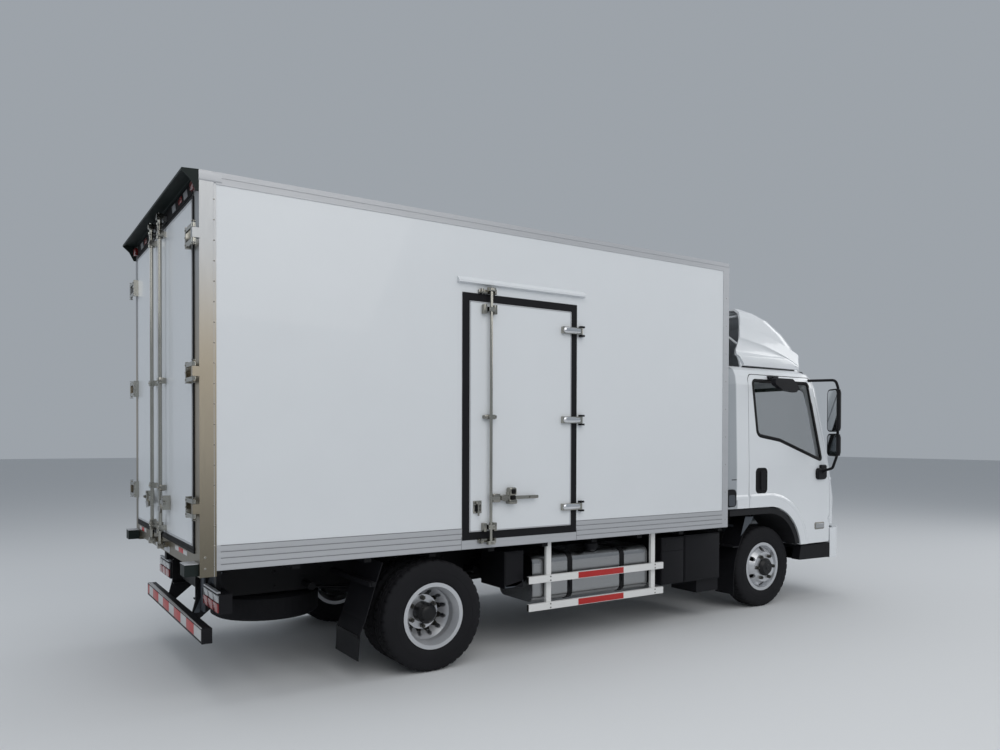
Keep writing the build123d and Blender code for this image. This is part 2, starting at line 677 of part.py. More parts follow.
def box_side_walls():
    """Both sandwich walls. The right one is cut for the side door and has a drip rail."""
    wall = block((PORTAL_DEPTH, BOX_LENGTH), (SKIN_Y - WALL, SKIN_Y), (FLOOR_TOP, BOX_TOP - WALL))
    x0, x1, z0, z1 = SIDE_FRAME
    right = flipped(wall) - block((x0, x1), (-SKIN_Y - 1, -SKIN_Y + WALL + 1), (z0, z1))
    dx0, dx1, dz0, dz1 = DRIP_RAIL
    right += along_x(((-SKIN_Y + 1, dz0, 0), (-SKIN_Y - 30, dz0 + 4, 0), (-SKIN_Y - 30, dz0 + 18, 0),
                      (-SKIN_Y + 1, dz1, 0)), dx0, dx1)
    return wall + right


def rear_portal():
    """Stainless frame round the rear doors, its posts reaching below the floor."""
    outer = SKIN_Y + TRIM
    inner = outer - POST_WIDTH
    post = block((0, PORTAL_DEPTH), (inner, outer), (POST_BOTTOM, BOX_TOP))
    post += block((0, POST_SIDE), (SKIN_Y, outer), (POST_BOTTOM, TOP_RAIL_BOTTOM))
    header = block((0, PORTAL_DEPTH), (-inner, inner), (HEADER_BOTTOM, BOX_TOP))
    sill = block((0, PORTAL_DEPTH), (-inner, inner), (FLOOR_BOTTOM, FLOOR_TOP))
    hinges = Part()
    for z in REAR_HINGE_ZS:
        hinges += bar((REAR_HINGE_X, REAR_HINGE_Y, z - 58), (REAR_HINGE_X, REAR_HINGE_Y, z + 58), 6)
        hinges += block((REAR_HINGE_X - 10, 1), (outer - 16, REAR_HINGE_Y + 10), (z - 28, z + 28))
    keepers = Part()
    for z in REAR_KEEPER_ZS:
        keepers += block((-20, 1), (REAR_ROD_Y - 36, REAR_ROD_Y + 36), (z - 16, z + 16))
    return both(post + hinges + keepers) + header + sill


def box_edge_trim():
    """Aluminium edge profiles: ribbed skirts, top rails with a seam, and front posts."""
    outer = SKIN_Y + TRIM
    rib = TRIM / 2
    front = BOX_LENGTH - FRONT_POST
    levels = [FLOOR_BOTTOM + n * (SKIRT_TOP - FLOOR_BOTTOM) / 4 for n in range(5)]
    skirt = block((POST_SIDE, front), (SKIN_Y, SKIN_Y + rib), (FLOOR_BOTTOM, SKIRT_TOP))
    for z in levels[:-1]:
        skirt += block((POST_SIDE, front), (SKIN_Y, outer - 0.5), (z + 5, z + 32))
    rail = block((POST_SIDE, BOX_LENGTH), (SKIN_Y, outer), (TOP_RAIL_BOTTOM, BOX_TOP))
    rail += block((POST_SIDE, BOX_LENGTH), (SKIN_Y, outer + 3), (TOP_RAIL_SEAM, BOX_TOP))
    rail += block((PORTAL_DEPTH, BOX_LENGTH), (SKIN_Y - 60, outer), (BOX_TOP - TRIM, BOX_TOP))
    post = block((front, BOX_LENGTH), (SKIN_Y, outer), (FLOOR_BOTTOM, TOP_RAIL_BOTTOM))
    corner = block((BOX_LENGTH, BOX_LENGTH + TRIM), (SKIN_Y - FRONT_POST, outer),
                   (FLOOR_BOTTOM, BOX_TOP))
    across = block((BOX_LENGTH, BOX_LENGTH + TRIM), (-SKIN_Y, SKIN_Y), (BOX_TOP - 66, BOX_TOP))
    x0, x1, z0, z1 = SIDE_FRAME
    doorway = block((x0, x1), (-outer - 5, -SKIN_Y + 1), (z0, z1))
    return both(skirt + rail + post + corner) + across - doorway


def side_door_frame():
    """Black frame in the right wall round the side door, with the door's hinge pins."""
    x0, x1, z0, z1 = SIDE_FRAME
    w = SIDE_FRAME_WIDTH
    ring = block((x0, x1), (-SKIN_Y, -SKIN_Y + WALL), (FLOOR_TOP, z1))
    ring += block((x0, x1), (-SKIN_Y - 6, -SKIN_Y), (z0, z1))
    ring -= block((x0 + w, x1 - w), (-SKIN_Y - 7, -SKIN_Y + WALL + 1), (z0 + w, z1 - w))
    hinges = Part()
    for z in SIDE_HINGE_ZS:
        y = SIDE_HINGE_Y
        hinges += bar((SIDE_HINGE_X, y, z - 40), (SIDE_HINGE_X, y, z + 40), 6)
        for way in (-1, 1):
            ear = block((SIDE_HINGE_X - 10, SIDE_HINGE_X + 24), (y - 10, -SKIN_Y), (0, 14))
            hinges += Pos(0, 0, z + way * 33 - 7) * ear
    return ring + hinges


def rear_visor_and_buffers():
    """Black strip over the rear doors with a cheek at each end, and the sill's two rubber
    buffers."""
    half = SKIN_Y + TRIM
    low = BOX_TOP - 22
    strip = along_y(((0, BOX_TOP, 0), (-VISOR_REACH, BOX_TOP - 6, 3), (-VISOR_REACH, low, 0),
                     (-VISOR_REACH + 5, low, 0), (-VISOR_REACH + 7, BOX_TOP - 12, 4),
                     (-5, BOX_TOP - 6, 3), (-5, BOX_TOP - 24, 0), (0, BOX_TOP - 24, 0)), -half, half)
    tip = 3 - VISOR_REACH
    cheek = along_y(((0, BOX_TOP - 2, 0), (tip, BOX_TOP - 10, 0), (tip, low, 0), (-48, BOX_TOP - 62, 0),
                     (-16, BOX_TOP - 124, 0), (0, BOX_TOP - 124, 0)), half - 8, half)
    buffer = block((-BUFFER_REACH, 0), (half - 138, half - 28), (FLOOR_BOTTOM - 26, FLOOR_TOP - 49))
    return strip + both(cheek) + both(buffer)


# Box doors

def rear_door(side):
    """One insulated leaf with a stepped edge for the gasket."""
    opening = SKIN_Y + TRIM - POST_WIDTH
    low, high = FLOOR_TOP, HEADER_BOTTOM
    x = (-DOOR_PROUD, -DOOR_PROUD + DOOR_THICK)
    leaf = block((0, x[1]), (DOOR_GAP / 2, opening - DOOR_GAP), (low + DOOR_GAP, high - DOOR_GAP))
    leaf += block((x[0], 1), (DOOR_GAP / 2, opening - GASKET - DOOR_GAP),
                  (low + 2 * GASKET + DOOR_GAP, high - GASKET - DOOR_GAP))
    return leaf if side > 0 else flipped(leaf)


def rear_door_hardware(side):
    """Lock rod with cams and guides, handle, and three two-fingered hinge brackets."""
    face = -DOOR_PROUD
    rod_x = face - ROD_STANDOFF
    low, high = REAR_ROD_ZS
    piece = bar((rod_x, REAR_ROD_Y, low), (rod_x, REAR_ROD_Y, high), ROD_RADIUS)
    for z in (FLOOR_TOP + 78, REAR_LOCK_Z + 90, 1960, HEADER_BOTTOM - 68):
        piece += block((rod_x - 16, face), (REAR_ROD_Y - 26, REAR_ROD_Y + 26), (z - 18, z + 18))
    for z in (low + 12, high - 42):
        piece += block((rod_x - 20, rod_x + 14), (REAR_ROD_Y - 30, REAR_ROD_Y + 14), (z, z + 30))
    piece += block((rod_x - 8, rod_x + 8), (REAR_ROD_Y, REAR_ROD_Y + 210),
                   (REAR_LOCK_Z - 12, REAR_LOCK_Z + 12))
    piece += block((rod_x - 16, face), (REAR_ROD_Y + 120, REAR_ROD_Y + 160),
                   (REAR_LOCK_Z - 46, REAR_LOCK_Z + 46))
    x, y, back = REAR_HINGE_X, REAR_HINGE_Y, REAR_HINGE_BAR_Y
    for z in REAR_HINGE_ZS:
        bracket = block((x - 10, face), (back - 12, back + 12), (z - 62, z + 62))
        for way in (-1, 1):
            middle = z + way * 42
            bracket += block((x - 10, x), (back, y), (middle - 12, middle + 12))
            bracket += bar((x, y, middle - 12), (x, y, middle + 12), 11)
        bracket -= bar((x, y, z - 64), (x, y, z + 64), 6 + PIN_GAP)
        piece += bracket
    return piece if side > 0 else flipped(piece)


def side_door():
    """Insulated leaf in the side frame."""
    x0, x1, z0, z1 = SIDE_FRAME
    inset = SIDE_FRAME_WIDTH + 5
    leaf = block((x0 + inset, x1 - inset), (-SKIN_Y - DOOR_PROUD, -SKIN_Y + WALL - 8),
                 (z0 + inset, z1 - inset))
    return leaf


def side_door_hardware():
    """Lock rod, handle with its catch, and three hinge straps."""
    face = -SKIN_Y - DOOR_PROUD
    rod_y = face - 30
    low, high = 842, 2633
    piece = bar((SIDE_ROD_X, rod_y, low), (SIDE_ROD_X, rod_y, high), 11)
    for z in (964, 1733, 2482):
        piece += block((SIDE_ROD_X - 26, SIDE_ROD_X + 26), (rod_y - 14, face), (z - 16, z + 16))
    for z in (low, high - 26):
        piece += block((SIDE_ROD_X - 28, SIDE_ROD_X + 28), (rod_y - 16, rod_y + 12), (z, z + 26))
    piece += block((SIDE_ROD_X, 2334), (rod_y - 8, rod_y + 6), (SIDE_HANDLE_Z - 12, SIDE_HANDLE_Z + 12))
    piece += block((2090, 2136), (rod_y - 14, face), (SIDE_HANDLE_Z - 42, SIDE_HANDLE_Z + 42))
    x0, x1, z0, z1 = SIDE_FRAME
    for z in SIDE_HINGE_ZS:
        y = SIDE_HINGE_Y
        eye = bar((SIDE_HINGE_X, y, z - 25), (SIDE_HINGE_X, y, z + 25), 10)
        eye += block((2581, SIDE_HINGE_X), (y - 10, y - 3), (z - 25, z + 25))
        eye += block((2581, x1 - SIDE_FRAME_WIDTH - 12), (y - 10, face), (z - 25, z + 25))
        eye -= bar((SIDE_HINGE_X, y, z - 44), (SIDE_HINGE_X, y, z + 44), 6 + PIN_GAP)
        piece += eye
    return piece


# Refrigeration unit

def refrigeration_unit():
    """Condenser on the front wall above the cab's roof, and the evaporator inside the box."""
    condenser = along_y(((BOX_LENGTH, 2495, 0), (BOX_LENGTH + 330, 2495, 60),
                         (BOX_LENGTH + 330, 2800, 60), (BOX_LENGTH + 220, 2930, 60),
                         (BOX_LENGTH, 2930, 0)), -640, 640)
    top, back = BOX_TOP - WALL, BOX_LENGTH - WALL
    evaporator = along_y(((back, top, 0), (back - 560, top, 0), (back - 520, top - 190, 40),
                          (back, top - 210, 20)), -620, 620)
    return condenser + evaporator


# Cab

def cab_section(z, front, half, corner, inset):
    """Plan outline of the cab at one height, drawn in from the outside by inset."""
    rear = CAB_REAR_X + inset
    nose = front - inset
    side = half - inset
    edge = nose - CAB_BOW
    rear_corner = max(CAB_REAR_RADIUS - inset, 12)
    front_corner = corner - inset
    rows = ((rear, -side, rear_corner), (edge, -side, front_corner), (nose, 0, 6000),
            (edge, side, front_corner), (rear, side, rear_corner))
    return Pos(0, 0, z) * outline(rows)


@cache
def cab_form(inset=0):
    """The cab's whole outside, or the same form inset by a wall."""
    sections = []
    for z, front, half, corner in CAB_SECTIONS:
        drop = inset * max(0, (z - 1330) / (2250 - 1330)) if inset else 0
        sections.append(cab_section(z - drop, front, half, corner, inset))
    return loft(sections, ruled=True)


def tunnel(radius, y, rear=CAB_REAR_X - 200):
    """A wheel arch's form: a round front and a straight run to the rear."""
    arch = bar((FRONT_AXLE_X, y[0], ARCH_Z), (FRONT_AXLE_X, y[1], ARCH_Z), radius)
    return arch + block((rear, FRONT_AXLE_X), y, (0, ARCH_Z + radius))


def arch_cut(y):
    """What the wheel arches take out of the cab, over a range of y."""
    front = block((FRONT_AXLE_X - 10, FRONT_AXLE_X + ARCH_RADIUS - 7), y, (0, ARCH_Z + 85))
    return tunnel(ARCH_RADIUS, y) + front


@cache
def flare():
    """Bulge of the cab's sides round the left wheel arch."""
    band = tunnel(FLARE_RADIUS, (800, 1100)) - block((4000, 7000), (700, 1200), (0, DOOR_BOTTOM))
    return (cab_form(-FLARE_OUT) - cab_form()) & band


def arch_liners():
    """Black liner over each front wheel with a wide outer lip, hung from the cab's floor."""
    inner, outer = LINER_RADIUS, ARCH_RADIUS - SHUT_GAP - 4
    high = 944
    rear = LINER_REAR_X
    lip = tunnel(outer, (high - 20, high), rear) - tunnel(inner, (high - 21, high + 1))
    skin = tunnel(inner + LINER_WALL, (560, high - 19), rear) - tunnel(inner, (559, high - 18))
    keep = block((FRONT_AXLE_X, 5700), (500, 1000), (LINER_FRONT_Z, 1000))
    keep += block((rear, FRONT_AXLE_X + 1), (500, 1000), (ARCH_Z + inner - 1, 1000))
    liner = (lip + skin) & keep
    for x in (4700, 5080):
        liner += block((x, x + 60), (700, 840), (ARCH_Z + inner + 2, ARCH_Z + ARCH_RADIUS - SEAT))
    return both(liner)


def door_prism(grow, side):
    """Outline of a cab door, seen from the side, grown by a gap."""
    rows = (
        (DOOR_REAR_X - grow, CAB_REAR_BOTTOM - 450, 0), (DOOR_REAR_X - grow, DOOR_TOP + grow, 60),
        (5775 + grow, DOOR_TOP + grow, 50), (6036 + grow, 1345, 300),
        (DOOR_FRONT_X + grow, 1120, 200), (DOOR_FRONT_X + grow, DOOR_BOTTOM - grow, 20),
        (5500, DOOR_BOTTOM - grow, 0), (5500, CAB_REAR_BOTTOM - 450, 0))
    low, high = (800, 1100) if side > 0 else (-1100, -800)
    return along_y(rows, low, high)


def front_prism(rows):
    """A front panel's outline, seen from the front, mirrored by its own rows."""
    return along_x(rows, 6000, 6400)


def window_prism(grow, side):
    """Outline of a door's window."""
    rows = ((4917 - grow, 2132 + grow, 45), (5738 + grow, 2132 + grow, 45),
            (5944 + grow, 1366 - grow, 24), (5800, 1408 - grow, 200), (5300, 1566 - grow, 200),
            (4980 - grow, 1612 - grow, 70))
    low, high = (700, 1100) if side > 0 else (-1100, -700)
    return along_y(rows, low, high)


def windscreen_prism(shrink):
    rows = ((-800 + shrink, 1375 + shrink, 70), (-735 + shrink, 2118 - shrink, 90),
            (735 - shrink, 2118 - shrink, 90), (800 - shrink, 1375 + shrink, 70))
    return along_x(rows, 5500, 6400)


def rear_window_prism(shrink):
    rows = ((-560 + shrink, 1640 + shrink, 60), (-560 + shrink, 2040 - shrink, 60),
            (560 - shrink, 2040 - shrink, 60), (560 - shrink, 1640 + shrink, 60))
    return along_x(rows, CAB_REAR_X - 50, CAB_REAR_X + 200)


def cab_cavity():
    """The space inside the cab above its stepped floor."""
    rows = ((4000, CAB_FLOOR, 0), (FOOTWELL_X, CAB_FLOOR, 30), (FOOTWELL_X + 40, FOOTWELL_FLOOR, 30),
            (7000, FOOTWELL_FLOOR, 0), (7000, 2400, 0), (4000, 2400, 0))
    return cab_form(CAB_WALL) & along_y(rows, -1200, 1200)


def door_hinges():
    """Lugs on the left front pillar, each with a pin for the door's edge."""
    x, y = CAB_HINGE_X, CAB_HINGE_Y
    lugs = Part()
    for z in CAB_HINGE_ZS:
        lug = block((x, x + 35), (y - 5, y + 4), (z - HINGE_LUG / 2, z + HINGE_LUG / 2))
        lug += bar((x, y, z - HINGE_LUG / 2), (x, y, z + HINGE_LUG / 2), 7)
        lugs += lug + bar((x, y, z - 34), (x, y, z + 34), HINGE_PIN)
    return lugs


def hinge_notches():
    """What the lugs and pins need cut from the left door's front edge."""
    x, y = CAB_HINGE_X, CAB_HINGE_Y
    cuts = Part()
    for z in CAB_HINGE_ZS:
        cuts += block((x - 13, x + 40), (y - 13, y + 20),
                      (z - HINGE_LUG / 2 - 5, z + HINGE_LUG / 2 + 5))
        cuts += bar((x, y, z - 39), (x, y, z + 39), HINGE_PIN + PIN_GAP)
    return cuts


def cab_shell():
    """Cab body: a closed form hollowed out, then cut for arches, frame, doors and windows."""
    shell = cab_form() - cab_cavity()
    shell -= arch_cut((-1200, 1200))
    under = CAB_FLOOR - FLOOR_WALL
    well = FOOTWELL_FLOOR - FLOOR_WALL
    shell -= block((CAB_REAR_X + FLOOR_WALL, FOOTWELL_X - FLOOR_WALL), (-SILL_Y, SILL_Y), (0, under))
    shell -= block((FOOTWELL_X - FLOOR_WALL - 1, 6235), (-SILL_Y, SILL_Y), (0, well))
    shell -= block((DOOR_FRONT_X - 1, 7000), (-1200, 1200), (0, CAB_FRONT_BOTTOM))
    inner = cab_form(CAB_DOOR_THICK + SHUT_GAP)
    for side in (-1, 1):
        shell -= door_prism(SHUT_GAP, side) - inner
    shell += both(flare() - door_prism(SHUT_GAP, 1) - arch_cut((800, 1200)))
    shell -= front_skin(GRILLE_DEPTH) & front_prism(GRILLE)
    shell -= both(front_skin(LAMP_DEPTH) & front_prism(HEADLAMP))
    shell -= windscreen_prism(0)
    shell -= rear_window_prism(0)
    eye = bar((TILT_X, TILT_EYE[0], TILT_Z), (TILT_X, TILT_EYE[1], TILT_Z), TILT_EYE_RADIUS)
    eye += block((TILT_X - 20, TILT_X + 20), TILT_EYE, (TILT_Z, FOOTWELL_FLOOR - 10))
    pocket = block((TILT_X - 60, TILT_X + 60), (TILT_EYE[0] - TILT_LUG - 12, TILT_EYE[0]),
                   (TILT_Z - 60, TILT_Z + 42))
    pocket += block((TILT_X - 60, TILT_X + 60), (TILT_EYE[1], TILT_EYE[1] + TILT_LUG + 12),
                    (TILT_Z - 60, TILT_Z + 42))
    hole = bar((TILT_X, TILT_EYE[0] - 60, TILT_Z), (TILT_X, TILT_EYE[1] + 60, TILT_Z),
               TILT_PIN_RADIUS + PIN_GAP)
    return shell - both(pocket) + both(eye) - both(hole) + both(door_hinges())


def cab_door(side):
    """Door leaf with its window frame, cut from the cab's own form."""
    leaf = (cab_form() - cab_form(CAB_DOOR_THICK)) & door_prism(0, side)
    leaf -= arch_cut((-1200, 1200))
    bulge = (flare() & door_prism(0, 1)) - arch_cut((800, 1200))
    notches = hinge_notches()
    leaf += bulge if side > 0 else flipped(bulge)
    leaf -= notches if side > 0 else flipped(notches)
    return leaf - window_prism(0, side)


def pane(prism):
    """A curved glass pane a little inside the outer surface."""
    return (cab_form(PANE_INSET) - cab_form(PANE_INSET + PANE)) & prism


def cab_glass():
    return pane(windscreen_prism(SEAT)) + pane(rear_window_prism(SEAT))


def door_glass(side):
    return pane(window_prism(-SEAT, side))


def mirror_set(side):
    """Tubular arm from the door's top front corner to a foot under the window, with two
    mirror heads, and on the right a kerb mirror over the window."""
    arm = tube(((5745, 900, 2155), (5890, MIRROR_Y - 20, 2155), (MIRROR_X, MIRROR_Y, 2080),
                (MIRROR_X, MIRROR_Y, 1440), (5925, 1080, 1300), (5925, 945, 1262)), MIRROR_ARM, 45)
    for low, high in ((1665, 2060), (1425, 1630)):
        head = along_z(((-24, -95, 20), (10, -95, 8), (10, 95, 8), (-24, 95, 20)), low, high)
        arm += Pos(MIRROR_X - 20, MIRROR_Y - 30, 0) * Rot(0, 0, 28) * Rot(0, 0, 180) * head
    arm += block((5850, 5990), (940, 968), (1205, 1290))
    if side < 0:
        arm += along_y(KERB_MIRROR, 1078, 1128)
        arm += bar((5210, 925, 2160), (5180, 1090, 2115), 11)
        arm += block((5140, 5280), (895, 940), (2142, 2174))
    arm = arm - cab_form()
    return arm if side > 0 else flipped(arm)


def dashboard():
    """Dashboard across the cab with the steering column and wheel on the left."""
    rows = ((6150, 1000, 0), (6140, 1290, 60), (5960, 1330, 60), (5900, 1180, 40), (5960, 1000, 0))
    dash = along_y(rows, -850, 850)
    centre, lean = Vector(5720, 440, 1350), 62
    wheel = Pos(centre) * Rot(0, -90 + lean, 0) * Torus(205, 14)
    hub_disc = Pos(centre) * Rot(0, -90 + lean, 0) * Cylinder(60, 30)
    spokes = Pos(centre) * Rot(0, -90 + lean, 0) * Box(30, 400, 14)
    column = bar(tuple(centre), (5990, 440, 1180), 34)
    return (dash & cab_cavity()) + wheel + hub_disc + spokes + column


def seats():
    """Driver's seat and a wider passenger bench, each on its plinth."""
    piece = Part()
    for low, high in ((190, 690), (-760, 130)):
        cushion = along_y(((4860, CAB_FLOOR, 0), (4860, 1210, 20), (5380, 1240, 60),
                           (5380, 1110, 30), (5300, CAB_FLOOR, 0)), low, high)
        back = along_y(((4830, 1190, 10), (4690, 1800, 40), (4790, 1820, 40), (4960, 1200, 30)),
                       low + 10, high - 10)
        piece += cushion + back
    return piece


def front_bumper():
    """White bumper round the cab's lower front."""
    outside = along_z(bumper_rows(0), BUMPER_BOTTOM, BUMPER_TOP)
    return outside - along_z(bumper_rows(BUMPER_WALL), 0, 1000)


def front_skin(depth):
    """The cab's outer surface, as thick as depth."""
    return cab_form() - cab_form(depth)


def headlamps():
    return both(front_skin(LAMP_DEPTH) & front_prism(HEADLAMP))


def grille():
    return front_skin(GRILLE_DEPTH) & front_prism(GRILLE)


def deflector_form(inset):
    low, high = DEFLECTOR_SECTIONS[0][0], DEFLECTOR_SECTIONS[-1][0]
    sections = []
    for z, rear, front, half, corner in DEFLECTOR_SECTIONS:
        back = rear - 60 if inset else rear
        edge = front - inset - DEFLECTOR_BOW
        side = half - inset
        rows = ((back, -side, 0), (edge, -side, corner - inset), (front - inset, 0, 3000),
                (edge, side, corner - inset), (back, side, 0))
        drop = inset * (z - low) / (high - low)
        sections.append(Pos(0, 0, z - drop) * outline(rows))
    return loft(sections, ruled=True)


def roof_deflector():
    """Open-backed air deflector on the cab's roof, with brace tubes across its back."""
    shell = deflector_form(0) - deflector_form(DEFLECTOR_WALL) - cab_form()
    brace = bar((4905, -755, 2735), (4905, 755, 2735), 11)
    brace += both(bar((4885, 826, 2440), (4905, 400, 2735), 11))
    return shell + brace


def place(shape):
    """Moves a piece so that the origin is under the middle of the truck."""
    middle = (BUMPER_FRONT_X - VISOR_REACH) / 2
    return Pos(-middle, 0, 0) * shape


PARTS = {
    "ladder_frame": ladder_frame,
    "box_subframe": box_subframe,
    "box_floor": box_floor,
    "box_side_walls": box_side_walls,
    "box_front_wall": box_front_wall,
    "box_roof": box_roof,
    "rear_portal": rear_portal,
    "box_edge_trim": box_edge_trim,
    "side_door_frame": side_door_frame,
    "rear_visor_and_buffers": rear_visor_and_buffers,
    "refrigeration_unit": refrigeration_unit,
    "front_axle": front_axle,
    "rear_axle": rear_axle,
    "leaf_springs": leaf_springs,
    "engine": engine,
    "fuel_tank": fuel_tank,
    "tank_brackets": tank_brackets,
    "side_boxes": side_boxes,
    "silencer": silencer,
    "side_guards": side_guards,
    "underrun_bar": underrun_bar,
    "tail_lamps": tail_lamps,
    "spare_wheel": spare_wheel,
    "mudguards_and_steps": mudguards_and_steps,
    "front_bumper": front_bumper,
    "cab_shell": cab_shell,
    "cab_arch_liners": arch_liners,
    "cab_glass": cab_glass,
    "dashboard": dashboard,
    "seats": seats,
    "headlamps": headlamps,
    "grille": grille,
    "roof_deflector": roof_deflector,
    "side_door": side_door,
    "side_door_hardware": side_door_hardware,
    "track_rod": track_rod,
}
SIDED = {
    "cab_{}_door": cab_door,
    "cab_{}_window": door_glass,
    "cab_{}_mirror": mirror_set,
    "rear_{}_door": rear_door,
    "rear_{}_door_hardware": rear_door_hardware,
    "front_{}_tyre": front_tyre,
    "front_{}_rim": front_rim,
    "front_{}_knuckle": knuckle,
    "rear_{}_tyres": rear_tyres,
    "rear_{}_rims": rear_rims,
}

if __name__ == "__main__":
    os.makedirs("parts", exist_ok=True)
    pieces = {name: make() for name, make in PARTS.items()}
    for name, make in SIDED.items():
        left = make(1)
        pieces[name.format("left")] = left
        pieces[name.format("right")] = make(-1) if make is mirror_set else flipped(left)
    for name, piece in pieces.items():
        export_step(place(piece), f"parts/{name}.step")
        print(name, len(piece.solids()), round(sum(s.volume for s in piece.solids()) / 1e6, 2))
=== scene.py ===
import math

import bmesh
import bpy
from mathutils import Matrix, Vector


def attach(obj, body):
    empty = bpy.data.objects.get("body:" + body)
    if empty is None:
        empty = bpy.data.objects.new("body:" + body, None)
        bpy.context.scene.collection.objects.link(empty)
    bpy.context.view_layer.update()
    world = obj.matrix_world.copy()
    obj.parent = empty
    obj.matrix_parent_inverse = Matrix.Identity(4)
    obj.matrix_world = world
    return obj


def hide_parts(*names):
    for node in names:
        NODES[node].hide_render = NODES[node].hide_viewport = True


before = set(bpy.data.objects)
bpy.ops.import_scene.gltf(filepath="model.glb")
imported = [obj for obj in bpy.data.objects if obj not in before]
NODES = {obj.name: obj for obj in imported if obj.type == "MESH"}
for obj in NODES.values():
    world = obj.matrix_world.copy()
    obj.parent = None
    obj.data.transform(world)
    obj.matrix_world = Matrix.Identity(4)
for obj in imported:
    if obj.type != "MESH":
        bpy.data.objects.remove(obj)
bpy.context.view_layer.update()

# Sizes are in mm as in the part's source: X forward from the load box's rear face, Y left,
# Z up. SHIFT moves them to the row frame, whose origin is under the truck's middle.
SHIFT = 3130
TYRE_RADIUS = 377.5
FRONT_AXLE_X = 5156
REAR_AXLE_X = 1528
FRONT_WHEEL_Y = 786
REAR_TYRE_YS = (980, 764)
AXLES = (
    # end, ending of its nodes' names, x, outer face of the disc, hub radius, nut circle's radius
    ("front", "", FRONT_AXLE_X, 890, 84, 111),
    ("rear", "s", REAR_AXLE_X, 886, 74, 98),
)
RIM_TURN = math.radians(30)
OUTER_Y = 1088           # the load box's side, over its rails
WALL_OUT = 1084          # the load box's side wall
LEAF_OUT = 1091.5        # the side door's face
BOX_LENGTH = 4413
SKIRT_LOW, SKIRT_HIGH = 815, 962
SKIRT_STEP = (SKIRT_HIGH - SKIRT_LOW) / 4
SKIRT_GAP = (1728, 2735)     # where the side door's frame interrupts the skirt on the right
POST_WIDTH = 118
POST_LOW = 783
REAR_HINGE_X, REAR_HINGE_Y, REAR_HINGE_ZS = -32, 1099, (1179, 1960, 2741)
REAR_ROD_X, REAR_ROD_Y = -42, 150
SIDE_ROD_X, SIDE_ROD_Y = 1945, -1122
SIDE_HINGE_ZS = (1073, 1723, 2391)
GUARD_ZS = (334, 538)
FAN_Z = 2660
SIDES = ((1, "left"), (-1, "right"))


def at(x, y, z):
    """A point of the part's source, in mm, as a row-frame point in metres."""
    return Vector(((x - SHIFT) / 1000, y / 1000, z / 1000))


def span(side, low, high):
    """Two distances from the middle as a y range on one side of the truck."""
    return sorted((side * low, side * high))


def between(rows, value):
    """The second number at a value of the first, along rows of (first, second), held at the end."""
    return next((a[1] + (b[1] - a[1]) * (value - a[0]) / (b[0] - a[0]) for a, b in zip(rows, rows[1:])
                 if value <= b[0]), rows[-1][1])


def add_object(name, data):
    obj = bpy.data.objects.new(name, data)
    bpy.context.scene.collection.objects.link(obj)
    return obj


# Materials

def surface(name, colour, rough, metal=0.0, mottle=0.05, grain=300.0, bump=0.0003, coat=0.0,
            alpha=None, stretch=None, painted_light=()):
    """A plain procedural material: mottled colour and roughness, and a fine bump.

    Each fading band paints light or shade, given as (low, high, shade, axis): the colour comes in from
    that shade between two metres.
    """
    mat = bpy.data.materials.new(name)
    mat.use_nodes = True
    nodes, links = mat.node_tree.nodes, mat.node_tree.links
    shader = nodes["Principled BSDF"]
    shader.inputs["Metallic"].default_value = metal
    shader.inputs["Coat Weight"].default_value = coat
    if alpha is not None:
        shader.inputs["Alpha"].default_value = alpha
    if not metal and max(colour) < 0.03:
        shader.inputs["Specular IOR Level"].default_value = 0.16
    place = nodes.new("ShaderNodeTexCoord")
    source = place.outputs["Object"]
    if stretch:
        mapping = nodes.new("ShaderNodeMapping")
        mapping.inputs["Scale"].default_value = stretch
        links.new(source, mapping.inputs["Vector"])
        source = mapping.outputs["Vector"]

    def noise(scale, detail):
        node = nodes.new("ShaderNodeTexNoise")
        node.inputs["Scale"].default_value = scale
        node.inputs["Detail"].default_value = detail
        links.new(source, node.inputs["Vector"])
        return node.outputs["Fac"]

    mix = nodes.new("ShaderNodeMix")
    mix.data_type = "RGBA"
    mix.inputs["A"].default_value = (*[c * (1 - mottle) for c in colour], 1)
    mix.inputs["B"].default_value = (*[min(1, c * (1 + mottle)) for c in colour], 1)
    links.new(noise(3.0, 4.0), mix.inputs["Factor"])
    tint = mix.outputs["Result"]
    for low, high, shade, axis in painted_light:
        split = nodes.new("ShaderNodeSeparateXYZ")
        links.new(place.outputs["Object"], split.inputs["Vector"])
        reach = nodes.new("ShaderNodeMapRange")
        reach.interpolation_type = "SMOOTHSTEP"
        reach.inputs["From Min"].default_value = low
        reach.inputs["From Max"].default_value = high
        links.new(split.outputs[axis], reach.inputs["Value"])
        blend = nodes.new("ShaderNodeMix")
        blend.data_type = "RGBA"
        blend.inputs["A"].default_value = (*shade, 1)
        links.new(reach.outputs["Result"], blend.inputs["Factor"])
        links.new(tint, blend.inputs["B"])
        tint = blend.outputs["Result"]
    links.new(tint, shader.inputs["Base Color"])
    span = nodes.new("ShaderNodeMapRange")
    span.inputs["To Min"].default_value = max(0.02, rough - 0.06)
    span.inputs["To Max"].default_value = min(1.0, rough + 0.06)
    links.new(noise(11.0, 5.0), span.inputs["Value"])
    links.new(span.outputs["Result"], shader.inputs["Roughness"])
    if bump:
        relief = nodes.new("ShaderNodeBump")
        relief.inputs["Strength"].default_value = 0.5
        relief.inputs["Distance"].default_value = bump
        links.new(noise(grain, 3.0), relief.inputs["Height"])
        links.new(relief.outputs["Normal"], shader.inputs["Normal"])
    return mat


CAB_PAINT = dict(colour=(0.76, 0.785, 0.81), rough=0.22, mottle=0.015, grain=900, bump=0.00003, coat=0.6)
CAB_WHITE = surface("cab_white_paint", **CAB_PAINT)
